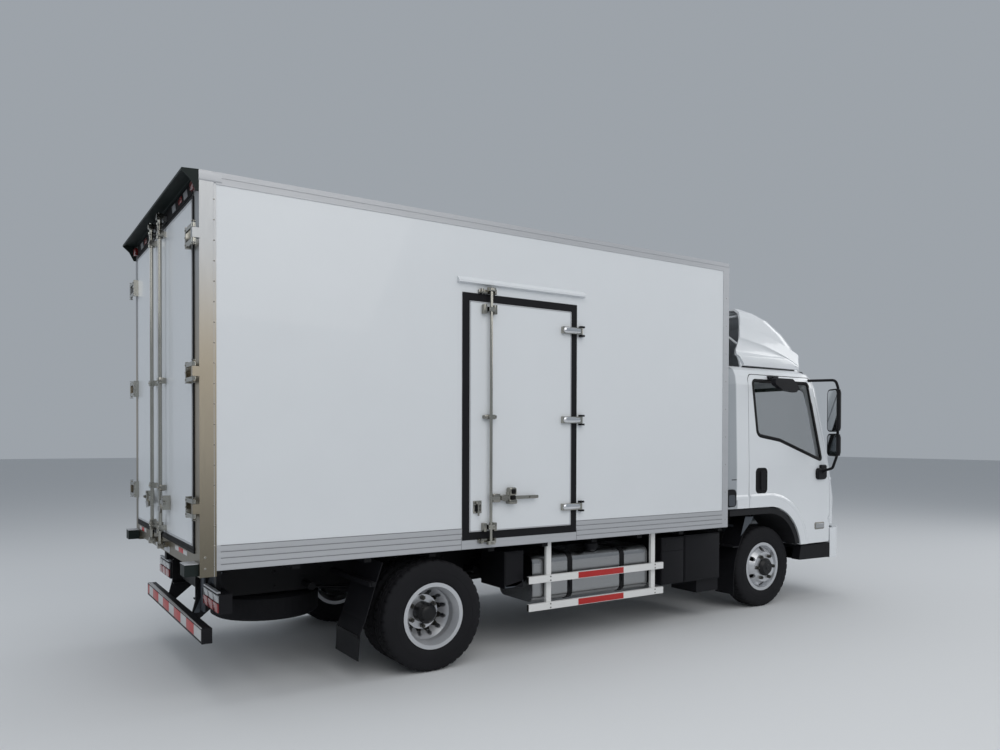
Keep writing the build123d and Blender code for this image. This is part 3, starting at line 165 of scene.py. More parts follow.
# The shell's corner behind each door is set back and stands in the box's shade; from x = 1.576 m back
# that shade is painted into its colour.
SHELL_WHITE_AND_SHADE = surface("cab_shell_paint_and_painted_shade", painted_light=((1.556, 1.576, (0.36, 0.385, 0.41), "X"),), **CAB_PAINT)
BOX_WHITE = surface("box_white_paint", (0.72, 0.745, 0.77), 0.32, mottle=0.02, grain=2.2, bump=0.004,
                    coat=0.3)
GUARD_WHITE = surface("guard_white_paint", (0.74, 0.74, 0.73), 0.4, mottle=0.04, grain=260, bump=0.0002)
# Brushed stainless with painted reflection: grey above 2.8 m, tan lower down and deep brown towards the
# bottom.
STEEL_AND_REFLECTION = surface("brushed_stainless_and_painted_reflection", (0.40, 0.41, 0.42), 0.36, 1.0, 0.08, 180, 0.0002,
                stretch=(8, 8, 0.6),
                painted_light=((1.9, 2.8, (0.46, 0.40, 0.31), "Z"), (0.7, 1.7, (0.19, 0.17, 0.13), "Z")))
ROD_STEEL = surface("rod_stainless", (0.40, 0.39, 0.35), 0.16, 1.0, 0.2, 120, 0.0002)
HARDWARE = surface("cast_stainless", (0.30, 0.29, 0.26), 0.20, 1.0, 0.45, 60, 0.002)
TRIM = surface("extruded_aluminium", (0.50, 0.51, 0.53), 0.5, 0.55, 0.04, 160, 0.0002,
               stretch=(0.4, 6, 6))
TANK = surface("tank_aluminium", (0.34, 0.345, 0.35), 0.24, 1.0, 0.06, 90, 0.0006, stretch=(0.5, 5, 5))
RIM = surface("wheel_silver", (0.60, 0.61, 0.63), 0.34, 0.75, 0.05, 320, 0.0002)
HUB = surface("hub_black", (0.008, 0.008, 0.009), 0.4, 0.3, 0.2, 240, 0.0006)
NUTS = surface("dark_nuts", (0.09, 0.088, 0.08), 0.4, 1.0, 0.25, 400, 0.0003)
# Chassis black, made blacker than the paint itself as painted shade under the box.
FRAME_BLACK_AND_SHADE = surface("chassis_black_and_painted_shade", (0.007, 0.007, 0.008), 0.5, 0.0, 0.25, 120, 0.0008)
CAST = surface("cast_iron", (0.03, 0.028, 0.026), 0.65, 0.4, 0.3, 140, 0.0012)
# Black plastic, made blacker than the plastic itself as painted shade under the cab.
PLASTIC_AND_SHADE = surface("black_plastic", (0.0085, 0.0085, 0.0105), 0.5, 0.0, 0.15, 900, 0.0003)
LINER = surface("liner_plastic", (0.018, 0.018, 0.02), 0.55, 0.0, 0.15, 700, 0.0004)
# Near black; on the door shut gaps, the gear's gaps and the front panel's seam it is painted shade.
DARK_AND_SHADE = surface("near_black_and_painted_shade", (0.008, 0.008, 0.009), 0.8, 0.0, 0.2, 300, 0.0004)
RUBBER = surface("black_rubber", (0.007, 0.007, 0.008), 0.6, 0.0, 0.15, 500, 0.0005)
TYRE = surface("tyre_rubber", (0.012, 0.012, 0.014), 0.72, 0.0, 0.25, 260, 0.0012)
MUFFLER = surface("dull_steel", (0.09, 0.08, 0.07), 0.55, 0.85, 0.2, 60, 0.001)
UNIT = surface("unit_grey", (0.03, 0.032, 0.035), 0.5, 0.0, 0.12, 500, 0.0003)
CLOTH = surface("seat_cloth", (0.05, 0.05, 0.055), 0.95, 0.0, 0.2, 1400, 0.0015)
FLOOR_ALU = surface("load_floor", (0.45, 0.46, 0.47), 0.42, 0.9, 0.1, 70, 0.002)
RED_TAPE = surface("red_reflective", (0.44, 0.010, 0.008), 0.4, 0.0, 0.06, 420, 0.0005, coat=0.1)
WHITE_TAPE = surface("white_reflective", (0.50, 0.50, 0.50), 0.4, 0.0, 0.04, 420, 0.0005, coat=0.1)
RED_LENS = surface("red_lens", (0.24, 0.005, 0.006), 0.16, 0.0, 0.08, 150, 0.002, coat=0.4)
DARK_RED = surface("dark_red_lens", (0.16, 0.012, 0.012), 0.18, 0.0, 0.08, 150, 0.002, coat=0.8)
AMBER_LENS = surface("amber_lens", (0.75, 0.22, 0.02), 0.14, 0.0, 0.06, 150, 0.002, coat=0.8)
CLEAR_LENS = surface("clear_lens", (0.36, 0.37, 0.38), 0.16, 0.2, 0.15, 90, 0.003, coat=0.4)
CHROME = surface("bright_reflector", (0.75, 0.76, 0.78), 0.08, 1.0, 0.04, 60, 0.0006)
VISOR = surface("rubber_sheet", (0.013, 0.019, 0.018), 0.5, 0.0, 0.15, 60, 0.0008)
# Grey; along the skirt's grooves and the side door's frame it is painted shade.
GREY_AND_GROOVE_SHADE = surface("grey_and_painted_groove_shade", (0.22, 0.225, 0.235), 0.6, 0.4, 0.06, 160, 0.0003)
ARM_GREY = surface("grey_plate", (0.075, 0.085, 0.10), 0.5, 0.4, 0.15, 160, 0.0006)
MIRROR = surface("mirror_glass", (0.42, 0.44, 0.46), 0.04, 1.0, 0.01, 4, 0.0)
GLASS = surface("tinted_glass", (0.03, 0.045, 0.04), 0.04, 0.0, 0.04, 6, 0.0, alpha=0.13)


def dress(material, *names):
    """Gives CAD nodes their material."""
    for name in names:
        slots = NODES[name].data.materials
        slots.clear()
        slots.append(material)


dress(FRAME_BLACK_AND_SHADE, "ladder_frame", "box_subframe", "front_axle", "rear_axle", "leaf_springs",
      "tank_brackets", "track_rod")
dress(CAST, "engine", "front_left_knuckle", "front_right_knuckle")
dress(BOX_WHITE, "box_side_walls", "box_front_wall", "box_roof", "rear_left_door",
      "rear_right_door", "side_door")
dress(FLOOR_ALU, "box_floor")
dress(STEEL_AND_REFLECTION, "rear_portal")
dress(ROD_STEEL, "rear_left_door_hardware", "rear_right_door_hardware", "side_door_hardware")
dress(TRIM, "box_edge_trim")
dress(PLASTIC_AND_SHADE, "side_door_frame", "side_boxes", "mudguards_and_steps", "dashboard")
dress(LINER, "cab_arch_liners")
dress(VISOR, "rear_visor_and_buffers")
dress(TANK, "fuel_tank")
dress(MUFFLER, "silencer")
dress(GUARD_WHITE, "side_guards")
dress(PLASTIC_AND_SHADE, "underrun_bar")
dress(SHELL_WHITE_AND_SHADE, "cab_shell")
dress(CAB_WHITE, "front_bumper", "roof_deflector", "cab_left_door", "cab_right_door")
dress(UNIT, "refrigeration_unit")
dress(GLASS, "cab_glass", "cab_left_window", "cab_right_window")
dress(RIM, "front_left_rim", "front_right_rim", "rear_left_rims", "rear_right_rims")
dress(PLASTIC_AND_SHADE, "grille", "cab_left_mirror", "cab_right_mirror", "tail_lamps")
dress(CLEAR_LENS, "headlamps")
dress(TYRE, "spare_wheel")


# Making pieces

class Bunch:
    """Collects simple solids, in mm, into one joined mesh."""

    def __init__(self):
        self.mesh = bmesh.new()

    def take(self, made, matrix):
        verts = [v for v in made["verts"]]
        bmesh.ops.transform(self.mesh, matrix=matrix, verts=verts)
        return verts

    def block(self, x, y, z, bevel=0.0, turn=None):
        centre = at((x[0] + x[1]) / 2, (y[0] + y[1]) / 2, (z[0] + z[1]) / 2)
        size = Vector((x[1] - x[0], y[1] - y[0], z[1] - z[0])) / 1000
        matrix = Matrix.Translation(centre) @ (turn or Matrix.Identity(4)) @ Matrix.Diagonal((*size, 1))
        verts = self.take(bmesh.ops.create_cube(self.mesh, size=1), matrix)
        if bevel:
            edges = list(dict.fromkeys(e for v in verts for e in v.link_edges))
            bmesh.ops.bevel(self.mesh, geom=edges, offset=bevel / 1000, segments=2, profile=0.6,
                            affect="EDGES")
        return self

    def pair(self, x, y, z, bevel=0.0):
        """The same block on both sides, y counted outward."""
        for side, _ in SIDES:
            self.block(x, span(side, *y), z, bevel)

    def rod(self, start, end, radius, sides=16, tip=None):
        a, b = at(*start), at(*end)
        turn = (b - a).to_track_quat("Z", "Y").to_matrix().to_4x4()
        matrix = Matrix.Translation((a + b) / 2) @ turn
        tip = radius if tip is None else tip
        made = bmesh.ops.create_cone(self.mesh, cap_ends=True, segments=sides, radius1=radius / 1000,
                                     radius2=tip / 1000, depth=(b - a).length)
        self.take(made, matrix)
        return self

    def dome(self, centre, axis, radius, height, sides=10):
        turn = Vector(axis).to_track_quat("Z", "Y").to_matrix().to_4x4()
        made = bmesh.ops.create_uvsphere(self.mesh, u_segments=sides, v_segments=6, radius=1)
        scale = Matrix.Diagonal((radius / 1000, radius / 1000, height / 1000, 1))
        self.take(made, Matrix.Translation(at(*centre)) @ turn @ scale)
        return self

    def lathe(self, centre, axis, rows, sides=64, sweep=None):
        """Turns rows of (radius, along the axis) about it. sweep(n, row) adds to a radius."""
        turn = Vector(axis).to_track_quat("Z", "Y").to_matrix().to_4x4()
        matrix = Matrix.Translation(at(*centre)) @ turn
        rings = []
        for n in range(sides):
            angle = 2 * math.pi * n / sides
            ring = []
            for k, (radius, along) in enumerate(rows):
                reach = (radius + (sweep(n, k) if sweep else 0)) / 1000
                ring.append(self.mesh.verts.new(
                    matrix @ Vector((reach * math.cos(angle), reach * math.sin(angle), along / 1000))))
            rings.append(ring)
        for n in range(sides):
            one, two = rings[n], rings[(n + 1) % sides]
            for k in range(len(rows) - 1):
                self.mesh.faces.new((one[k], two[k], two[k + 1], one[k + 1]))
        return self

    def collar(self, centre, axis, inner, outer, low, high, sides=20):
        return self.lathe(centre, axis, ((inner, low), (outer, low), (outer, high), (inner, high)), sides)

    def skin(self, rows, closed=False):
        """A sheet through rows of points in mm."""
        grid = [[self.mesh.verts.new(at(*p)) for p in row] for row in rows]
        count = len(grid)
        for n in range(count if closed else count - 1):
            one, two = grid[n], grid[(n + 1) % count]
            for k in range(len(one) - 1):
                self.mesh.faces.new((one[k], one[k + 1], two[k + 1], two[k]))
        return self

    def prism(self, outline, low, high, axis="y"):
        """A flat outline of points, extruded between low and high along an axis."""
        def point(a, b, c):
            return at(a, c, b) if axis == "y" else at(c, a, b) if axis == "x" else at(a, b, c)
        first = [self.mesh.verts.new(point(a, b, low)) for a, b in outline]
        last = [self.mesh.verts.new(point(a, b, high)) for a, b in outline]
        self.mesh.faces.new(first)
        self.mesh.faces.new(list(reversed(last)))
        for k in range(len(outline)):
            m = (k + 1) % len(outline)
            self.mesh.faces.new((first[k], last[k], last[m], first[m]))
        return self

    def done(self, name, material, body="chassis", slot=None, angle=40, replaces=()):
        """Makes the piece. It rides on a body and takes its material. The slot argument is not used."""
        bmesh.ops.recalc_face_normals(self.mesh, faces=self.mesh.faces)
        data = bpy.data.meshes.new(name)
        self.mesh.to_mesh(data)
        self.mesh.free()
        data.materials.append(material)
        data.shade_smooth()
        data.set_sharp_from_angle(angle=math.radians(angle))
        obj = add_object(name, data)
        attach(obj, body)
        if replaces:
            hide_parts(*replaces)
        return obj


# Wheels

TREAD_STEPS = 180
TYRE_HALF = (
    # radius, distance from the middle: tread centre to bead
    (371, 3), (377.5, 5), (377.5, 26), (371, 29), (371, 34), (377.5, 36), (377, 66), (374, 74),
    (367, 82), (352, 88), (330, 91), (300, 92), (298, 90.5), (292, 91.5), (262, 89), (240, 84),
    (232, 80), (230, 77), (222, 74), (209, 71),
)
SHOULDER_ROWS = range(5, 9)


def tyre(bunch, x, y):
    """A tyre with shoulder cuts and a stepped tread on both sides of its middle."""
    rows = [(r, -w) for r, w in reversed(TYRE_HALF)] + list(TYRE_HALF)
    half = len(TYRE_HALF)

    def tread(n, k):
        depth = half - 1 - k if k < half else k - half
        if depth in SHOULDER_ROWS and n % 5 == 0:
            return -7
        if 1 <= depth <= 2 and n % 5 == 2:
            return -4
        return 0

    bunch.lathe((x, y, TYRE_RADIUS), (0, 1, 0), rows, TREAD_STEPS, tread)


for side, word in SIDES:
    for end, plural, x, seat, hub, _ in AXLES:
        treads = Bunch()
        for y in (FRONT_WHEEL_Y,) if end == "front" else REAR_TYRE_YS:
            tyre(treads, x, side * y)
        treads.done(f"{end}_{word}_tyre{plural}_tread", TYRE, f"{end}_{word}_wheel{plural}", angle=28,
                    replaces=(f"{end}_{word}_tyre{plural}",))
        data = NODES[f"{end}_{word}_rim{plural}"].data
        data.materials.append(HUB)
        data.materials.append(NUTS)
        centre = at(x, 0, TYRE_RADIUS)
        for face in data.polygons:
            middle = sum((data.vertices[i].co for i in face.vertices), Vector()) / len(face.vertices)
            radius = math.hypot(middle.x - centre.x, middle.z - centre.z) * 1000
            outward = abs(middle.y) * 1000
            if radius < hub:
                face.material_index = 1
            elif radius < 132 and outward > seat + 0.5:
                face.material_index = 2


# The front rims stand turned by half their holes' pitch; their form stays the same.
for side, word in SIDES:
    node = NODES[f"front_{word}_rim"]
    data = node.data.copy()
    centre = at(FRONT_AXLE_X, 0, TYRE_RADIUS)
    spin = Matrix.Translation(centre) @ Matrix.Rotation(RIM_TURN, 4, "Y") @ Matrix.Translation(-centre)
    data.transform(node.matrix_world.inverted() @ spin @ node.matrix_world)
    data.shade_smooth()
    data.set_sharp_from_angle(angle=math.radians(32))
    turned = add_object(f"front_{word}_rim_turned", data)
    turned.matrix_world = node.matrix_world
    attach(turned, f"front_{word}_wheel")
    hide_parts(f"front_{word}_rim")

# Shared shapes

CAB_LEVELS = (
    # height, front x on the centre line, half width, front corner radius
    (560, 6268, 944, 190), (1000, 6280, 950, 200), (1330, 6206, 950, 200), (2080, 5992, 932, 185),
    (2160, 5952, 920, 178), (2215, 5895, 895, 165), (2250, 5800, 845, 150),
)
CAB_BOW = 22


def cab_level(z):
    """The cab's front x, half width and corner radius at a height."""
    for low, high in zip(CAB_LEVELS, CAB_LEVELS[1:]):
        if z <= high[0]:
            t = (z - low[0]) / (high[0] - low[0])
            return [a + (b - a) * t for a, b in zip(low[1:], high[1:])]
    return list(CAB_LEVELS[-1][1:])


def cab_side(z):
    return cab_level(z)[1]


def bowed(y, front, half, corner):
    """X of a bowed front with rounded corners at a place across it."""
    flat = half - corner
    if abs(y) <= flat:
        return front - CAB_BOW * abs(y) / half
    return front - CAB_BOW * flat / half - corner + math.sqrt(max(0, corner ** 2 - (abs(y) - flat) ** 2))


def cab_front(y, z):
    """X of the cab's front at a place across it and a height."""
    return bowed(y, *cab_level(z))


def rounded(rows, steps=5):
    """Points of an outline from rows of (across, up, corner radius)."""
    points = []
    for k, (across, up, radius) in enumerate(rows):
        here = Vector((across, up))
        one = (Vector(rows[k - 1][:2]) - here).normalized()
        two = (Vector(rows[(k + 1) % len(rows)][:2]) - here).normalized()
        if not radius:
            points.append(here)
            continue
        half = one.angle(two) / 2
        centre = here + (one + two).normalized() * radius / math.sin(half)
        first = here + one * radius / math.tan(half) - centre
        last = here + two * radius / math.tan(half) - centre
        whole = first.angle(last)
        for n in range(steps + 1):
            t = n / steps
            points.append(centre + (first * math.sin((1 - t) * whole) + last * math.sin(t * whole))
                          / math.sin(whole))
    return points


def grown(points, reach):
    """The same outline moved outward by reach."""
    count = len(points)
    area = sum(points[k - 1].x * points[k].y - points[k].x * points[k - 1].y for k in range(count))
    sign = 1 if area > 0 else -1
    out = []
    for k in range(count):
        run = (points[(k + 1) % count] - points[k - 1]).normalized()
        out.append(points[k] + Vector((run.y, -run.x)) * reach * sign)
    return out


def band(bunch, points, profile, place):
    """A strip along a closed outline. The profile is rows of (outward in its plane, proud)."""
    loops = [[place(p.x, p.y, proud) for p in grown(points, reach)] for reach, proud in profile]
    bunch.skin([list(row) for row in zip(*loops)], closed=True)


def sheet_over(bunch, points, place, proud, edge):
    """A thin raised panel with an outline, its edge reaching back to the surface."""
    band(bunch, points, ((0, -0.5), (0, proud - edge), (-edge, proud)), place)
    inner = grown(points, -edge)
    verts = [bunch.mesh.verts.new(at(*place(p.x, p.y, proud))) for p in inner]
    bunch.mesh.faces.new(verts)


def on_side(side):
    """Places a point of the cab's side panel from x, height and how proud it is."""
    return lambda x, z, proud: (x, side * (cab_side(z) + proud), z)


def on_front(y, z, proud):
    return (cab_front(y, z) + proud, y, z)


def on_rear(side):
    return lambda y, z, proud: (-proud, side * y, z)


def bolts(bunch, places, axis, radius, height, sides=8):
    for place in places:
        bunch.dome(place, axis, radius, height, sides)
    return bunch


def box_rows(low_x, high_x, low_z, high_z, radius):
    return rounded(((low_x, low_z, radius), (high_x, low_z, radius), (high_x, high_z, radius),
                    (low_x, high_z, radius)))


# Load box: rivets, rails' caps, painted shade in the skirt's grooves, door seals, header, reflective
# strips

rivets = Bunch()
for side, word in SIDES:
    out = (0, side, 0)
    bolts(rivets, [(82, side * (OUTER_Y - 0.5), 842 + 117 * n) for n in range(19)], out, 5.5, 2.2)
    bolts(rivets, [(30, side * (OUTER_Y - 0.5), z) for z in (832, 896)], out, 8, 3)
    bolts(rivets, [(BOX_LENGTH - 30, side * (OUTER_Y - 0.5), 880 + 240 * n) for n in range(9)],
          out, 4.5, 1.8)
rivets.done("box_rivets", HARDWARE)

caps = Bunch()
for side, word in SIDES:
    outline = rounded(((side * 1020, 3103.4, 0), (side * 1091, 3103.4, 10), (side * 1091.5, 3046, 14),
                       (side * 1078, 3038, 0), (side * 1020, 3060, 0)), 4)
    caps.prism([(p.x, p.y) for p in outline], -2, 127, "x")
    caps.block((80, 82.2), (side * OUTER_Y - 0.6, side * OUTER_Y + 0.6), (POST_LOW, 3034))
caps.done("top_rail_caps", TRIM)

# Grey strips in the skirt's grooves and at the side door frame's edges: painted shade.
groove_shade_strips = Bunch()
for side, word in SIDES:
    for n in range(1, 5):
        z = SKIRT_LOW + n * SKIRT_STEP
        stops = (118, *SKIRT_GAP, 4355) if side < 0 and z > 850 else (118, 4355)
        for low, high in zip(stops[::2], stops[1::2]):
            groove_shade_strips.block((low, high), span(side, 1086.2, 1087.6), (z - 4, z))
    for x in (1727, 2737) if side < 0 else ():
        groove_shade_strips.block((x - 1.5, x + 1.5), (-1088.3, -1086), (SKIRT_LOW, 905))
groove_shade_strips.done("skirt_groove_painted_shade", GREY_AND_GROOVE_SHADE, slot="aluminium_trim")

for side, word in SIDES:
    opening = OUTER_Y - POST_WIDTH
    raised = box_rows(4, opening - 26, 949, 2969, 3)
    seal = Bunch()
    place = on_rear(side)
    band(seal, raised, ((0.3, -2), (0.3, 6.5), (6, 7.5), (18, 7.5), (24, 5.5), (25, -9)), place)
    seal.block((-7.6, 2), span(side, 4, opening - 2), (907, 949))
    seal.block((-9, -7.4), span(side, 6, opening - 4), (926, 932), 0.5)
    seal.done(f"rear_{word}_door_seal", RUBBER, f"rear_{word}_door")
    trim = Bunch()
    band(trim, grown(raised, -0.5), ((0, 7.4), (0, 9.6), (-13, 9.6), (-13, 7.4)), place)
    bolts(trim, [(-9.6, side * (opening - 33), 1010 + 190 * n) for n in range(11)], (-1, 0, 0), 4, 1.6)
    trim.done(f"rear_{word}_door_edging", TRIM, f"rear_{word}_door")

header = Bunch()
header.block((-4, 1), (-955, 955), (3000, 3080), 1.5)
header.done("header_panel", DARK_AND_SHADE)
patches, lenses = Bunch(), Bunch()
for y in (-760, -420, 420, 760):
    patches.prism([(y - 62, 3016), (y + 38, 3016), (y + 62, 3064), (y - 38, 3064)], -6, -3.5, "x")
lenses.pair((-26, -3), (965, 1048), (3006, 3062), 6)
lenses.pair((-9, -3.5), (560, 660), (3022, 3060), 3)
patches.done("header_patches", GREY_AND_GROOVE_SHADE, slot="guard_white")
lenses.done("header_marker_lamps", DARK_RED)

white_tape, red_tape = Bunch(), Bunch()
for tape, low, high in (
    (white_tape, -762.6, -651), (red_tape, -651, -520.8), (white_tape, -520.8, -409.2),
    (white_tape, 641.7, 725.4), (red_tape, 725.4, 837), (white_tape, 837, 933.72),
):
    tape.block((-1.2, 0.5), (low, high), (868, 896), 0.2)
low = -886
for n, width in enumerate((190, 215, 170, 215, 170, 215, 170, 215, 152, 60)):
    (red_tape if n % 2 else white_tape).block((50.4, 52.4), (low + 1, low + width - 1), (370, 436), 0.3)
    low += width
white_tape.prism([(51, -884), (58, -884), (82, 884), (51, 884)], 444.5, 446.2, "z")
for z in GUARD_ZS:
    red_tape.pair((2789, 3248), (1047.4, 1049), (z - 23, z + 23), 0.3)
white_tape.done("white_reflective_strips", WHITE_TAPE)
red_tape.done("red_reflective_strips", RED_TAPE)

ends = Bunch()
ends.pair((50.5, 113.5), (888, 903), (353.5, 446.5), 4)
ends.pair((103, 115), (377, 388), (380, 440), 1)
ends.done("underrun_ends", PLASTIC_AND_SHADE)

plates = Bunch()
plates.pair((-79, 1), (946, 1064), (857, 862), 1.5)
plates.pair((36, 52), (950, 1060), (782, 815), 2)
plates.pair((-3, 0.5), (60, 240), (822, 862), 1.2)
plates.done("buffer_plates", TRIM)

# Tail lamps
amber, clear, red, cases = Bunch(), Bunch(), Bunch(), Bunch()
cases.pair((148, 162), (531, 924), (521, 644), 5)
cases.pair((170, 200), (700, 760), (642, 815), 2)
cases.pair((158, 164), (440, 531), (560, 606), 2)
for upper, y in ((amber, (545, 660)), (clear, (666, 790)), (clear, (796, 912))):
    upper.pair((141, 156), y, (592, 634), 4)
    red.pair((139, 156), y, (531, 587), 5)
cases.done("tail_lamp_cases", PLASTIC_AND_SHADE)
clear.done("tail_lamp_clear_lenses", CLEAR_LENS)
amber.done("tail_lamp_amber_lenses", CLEAR_LENS)
red.done("tail_lamp_red_lenses", RED_LENS)
strip = Bunch()
strip.pair((140, 162), (560, 900), (646, 656), 2)
strip.done("tail_lamp_top_strips", TRIM)

# Rear doors' rod gear: springs, collars, cams, bolts and hasps
for side, word in SIDES:
    gear = Bunch()
    rod_x, rod_y = REAR_ROD_X, side * REAR_ROD_Y
    for turn in range(9):
        z = 2912 + turn * 9
        gear.lathe((rod_x, rod_y, z), (0, 0, 1), ((12.2, -3), (17, -1.5), (17, 1.5), (12.2, 3)), 20)
    for z in (2905, 2995, 885):
        gear.collar((rod_x, rod_y, z), (0, 0, 1), 12, 21, -6, 6)
    for z, way in ((3046, 1), (862, -1)):
        gear.prism([(rod_x - 22, z - 14), (rod_x + 18, z - 14), (rod_x + 26, z), (rod_x + 18, z + 14),
                    (rod_x - 22, z + 14)], *span(side, REAR_ROD_Y - 4, REAR_ROD_Y + 26))
    for z in (983, 1250, 1960, 2927):
        bolts(gear, [(rod_x - 16.5, rod_y + way, z) for way in (-18, 18)], (-1, 0, 0), 5, 4)
    bolts(gear, [(rod_x - 16.5, side * 290, z) for z in (1125, 1195)], (-1, 0, 0), 6, 4)
    gear.rod((rod_x - 14, side * 330, 1160), (rod_x - 14, side * 366, 1160), 11, 14)
    for z in REAR_HINGE_ZS:
        bolts(gear, [(-42.5, side * 929, z + step) for step in (-42, 0, 42)], (-1, 0, 0), 6, 4)
        for low, high in ((-66, -62), (62, 66)):
            gear.collar((REAR_HINGE_X, side * REAR_HINGE_Y, z), (0, 0, 1), 6, 13, low, high, 16)
    for z in (1250, 1960, 2927):
        gear.block((rod_x - 14, rod_x + 22), span(side, REAR_ROD_Y + 26, REAR_ROD_Y + 40),
                   (z - 20, z + 20), 4)
    for z in (960, 1000):
        gear.block((rod_x - 20, rod_x + 24), span(side, REAR_ROD_Y - 30, REAR_ROD_Y - 18),
                   (z - 18, z + 18), 4)
    gear.prism([(rod_y + side * 30, 1105), (rod_y + side * 96, 1090), (rod_y + side * 120, 1120),
                (rod_y + side * 96, 1145), (rod_y + side * 30, 1130)], rod_x - 22, rod_x - 8, "x")
    gear.done(f"rear_{word}_rod_gear", HARDWARE, f"rear_{word}_door")

# Side door: seal, edging, cams, bolts and pull plate
seal = Bunch()
leaf = box_rows(1787, 2676, 933, 2534, 4)


def on_wall(x, z, proud):
    return (x, -(WALL_OUT + proud), z)


band(seal, leaf, ((0.4, -12), (0.4, 5.5), (2.2, 7.2), (4.2, 5.5), (4.4, -12)), on_wall)
seal.done("side_door_seal", RUBBER, "side_door")
trim = Bunch()
band(trim, grown(leaf, -0.3), ((0, 7.6), (0, 9.4), (-9, 9.4), (-9, 7.6)), on_wall)
trim.done("side_door_edging", TRIM, "side_door")
gear = Bunch()
rod_x, rod_y = SIDE_ROD_X, SIDE_ROD_Y
for z in (852, 2622):
    gear.collar((rod_x, rod_y, z), (0, 0, 1), 11, 20, -7, 7)
    gear.prism([(rod_x - 30, z - 10), (rod_x + 30, z - 10), (rod_x + 36, z), (rod_x + 30, z + 10),
                (rod_x - 30, z + 10)], rod_y - 4, rod_y + 12)
for z in (964, 1733, 2482):
    bolts(gear, [(rod_x + step, rod_y - 14.5, z) for step in (-18, 18)], (0, -1, 0), 5, 4)
for z in SIDE_HINGE_ZS:
    bolts(gear, [(x, -1118.5, z + step) for x in (2600, 2640) for step in (-12, 12)], (0, -1, 0), 5, 4)
for x, out, z, bevel in (
    ((1882, 1906), 1132, (2449, 2515), 5), ((1966, 1990), 1132, (2449, 2515), 5),    # upper cam
    ((1882, 1906), 1132, (934, 994), 5), ((1966, 1990), 1132, (934, 994), 5),        # lower cam
    ((1888, 1990), 1130, (1720, 1746), 8),                                           # rod guide
    ((2088, 2156), 1143, (1118, 1150), 8), ((2092, 2152), 1143, (1178, 1236), 12),   # lock
    ((1962, 2024), 1128, (1134, 1194), 8),                                           # handle's root
):
    gear.block(x, (-out, -LEAF_OUT), z, bevel)
gear.prism([(2024, 1150), (2060, 1138), (2088, 1156), (2088, 1172), (2060, 1188), (2024, 1178)],
           -1140, -1110)
gear.block((1816, 1884), (-1098, -LEAF_OUT), (1062, 1150), 3)
gear.rod((1850, -1112, 1046), (1850, -1112, 1136), 7, 10)
gear.block((1832, 1868), (-1116, -1096), (1128, 1144), 3)
gear.rod((2270, -1124, 1163), (2345, -1124, 1163), 12, 14)
gear.done("side_door_gear", HARDWARE, "side_door")
# Near-black blocks in the gear's gaps and recesses: painted shade.
gap_shade_blocks = Bunch()
gap_shade_blocks.block((2106, 2138), (-1146, -1142), (1190, 1224), 6)
gap_shade_blocks.block((2104, 2140), (-1148, -1130), (1150, 1178), 4)
gap_shade_blocks.block((1826, 1874), (-1099.5, -1097), (1074, 1120), 2)
gap_shade_blocks.block((1906, 1914), (-1121, -LEAF_OUT), (938, 990), 1)
gap_shade_blocks.block((1906, 1914), (-1121, -LEAF_OUT), (2456, 2508), 1)
gap_shade_blocks.done("side_door_gear_painted_gap_shade", DARK_AND_SHADE, "side_door")
crest = Bunch()
for z in SIDE_HINGE_ZS:
    rows = []
    for n in range(25):
        x = 2583 + n * (2738 - 2583) / 24
        round_off = math.sqrt(max(0.0, 1 - max(0.0, (2612 - x) / 29) ** 2))
        half = (23 - 5 * max(0, x - 2640) / 102) * round_off
        rows.append([(x, -1117 - 12 * round_off * math.sqrt(1 - t * t), z + half * t)
                     for t in (k / 4 - 1 for k in range(9))])
    crest.skin(rows)
crest.done("side_door_hinge_crests", CHROME, "side_door")
keep = Bunch()
for z, way in ((870, -1), (2604, 1)):
    keep.block((1856, 1992), (-1105, -1089.5), sorted((z - way * 12, z + way * 14)), 3)
    for step in (-56, 52):
        keep.block((1922 + step, 1938 + step), (-1124, -1089.5), sorted((z - way * 16, z + way * 20)), 5)
keep.done("side_door_keepers", HARDWARE)

# Inside the load box
ribs = Bunch()
for n in range(39):
    ribs.block((84, 4330), (-962 + n * 50.6, -954 + n * 50.6), (907.6, 911), 1)
ribs.done("load_floor_ribs", FLOOR_ALU)
kick = Bunch()
for side, word in SIDES:
    stops = (84, *SKIRT_GAP, 4331) if side < 0 else (84, 4331)
    for low, high in zip(stops[::2], stops[1::2]):
        kick.block((low, high), span(side, 1003.6, 1001.4), (911, 1190), 0.4)
kick.block((4330.5, 4332.7), (-1000, 1000), (911, 1190), 0.4)
kick.block((400, 1600), (-60, 60), (3012, 3024.6), 3)
kick.done("load_space_trim", FLOOR_ALU)

# Refrigeration unit: fan rings, blades, slats and the evaporator's fans
unit_face = BOX_LENGTH + 330
fans, blades = Bunch(), Bunch()
for y in (-320, 320):
    for radius in (60, 105, 150, 195):
        fans.lathe((unit_face - 4, y, FAN_Z), (1, 0, 0),
                   ((radius - 3, 6), (radius - 3, 11), (radius + 3, 11), (radius + 3, 6)), 40)
    fans.lathe((unit_face - 4, y, FAN_Z), (1, 0, 0), ((205, 3), (205, 13), (222, 13), (226, 3)), 48)
    for n in range(6):
        angle = math.pi * n / 6
        c, s = math.cos(angle) * 215, math.sin(angle) * 215
        fans.rod((unit_face + 5, y - c, FAN_Z - s), (unit_face + 5, y + c, FAN_Z + s), 2.5, 6)
    for n in range(7):
        angle = 2 * math.pi * n / 7
        blades.skin([[(unit_face + out, y + reach * math.cos(turn), FAN_Z + reach * math.sin(turn))
                      for reach in (34, 190)] for turn, out in ((angle, 2), (angle + 0.55, 1))])
    blades.lathe((unit_face, y, FAN_Z), (1, 0, 0), ((0.5, 4), (34, 4), (34, 0.2)), 24)
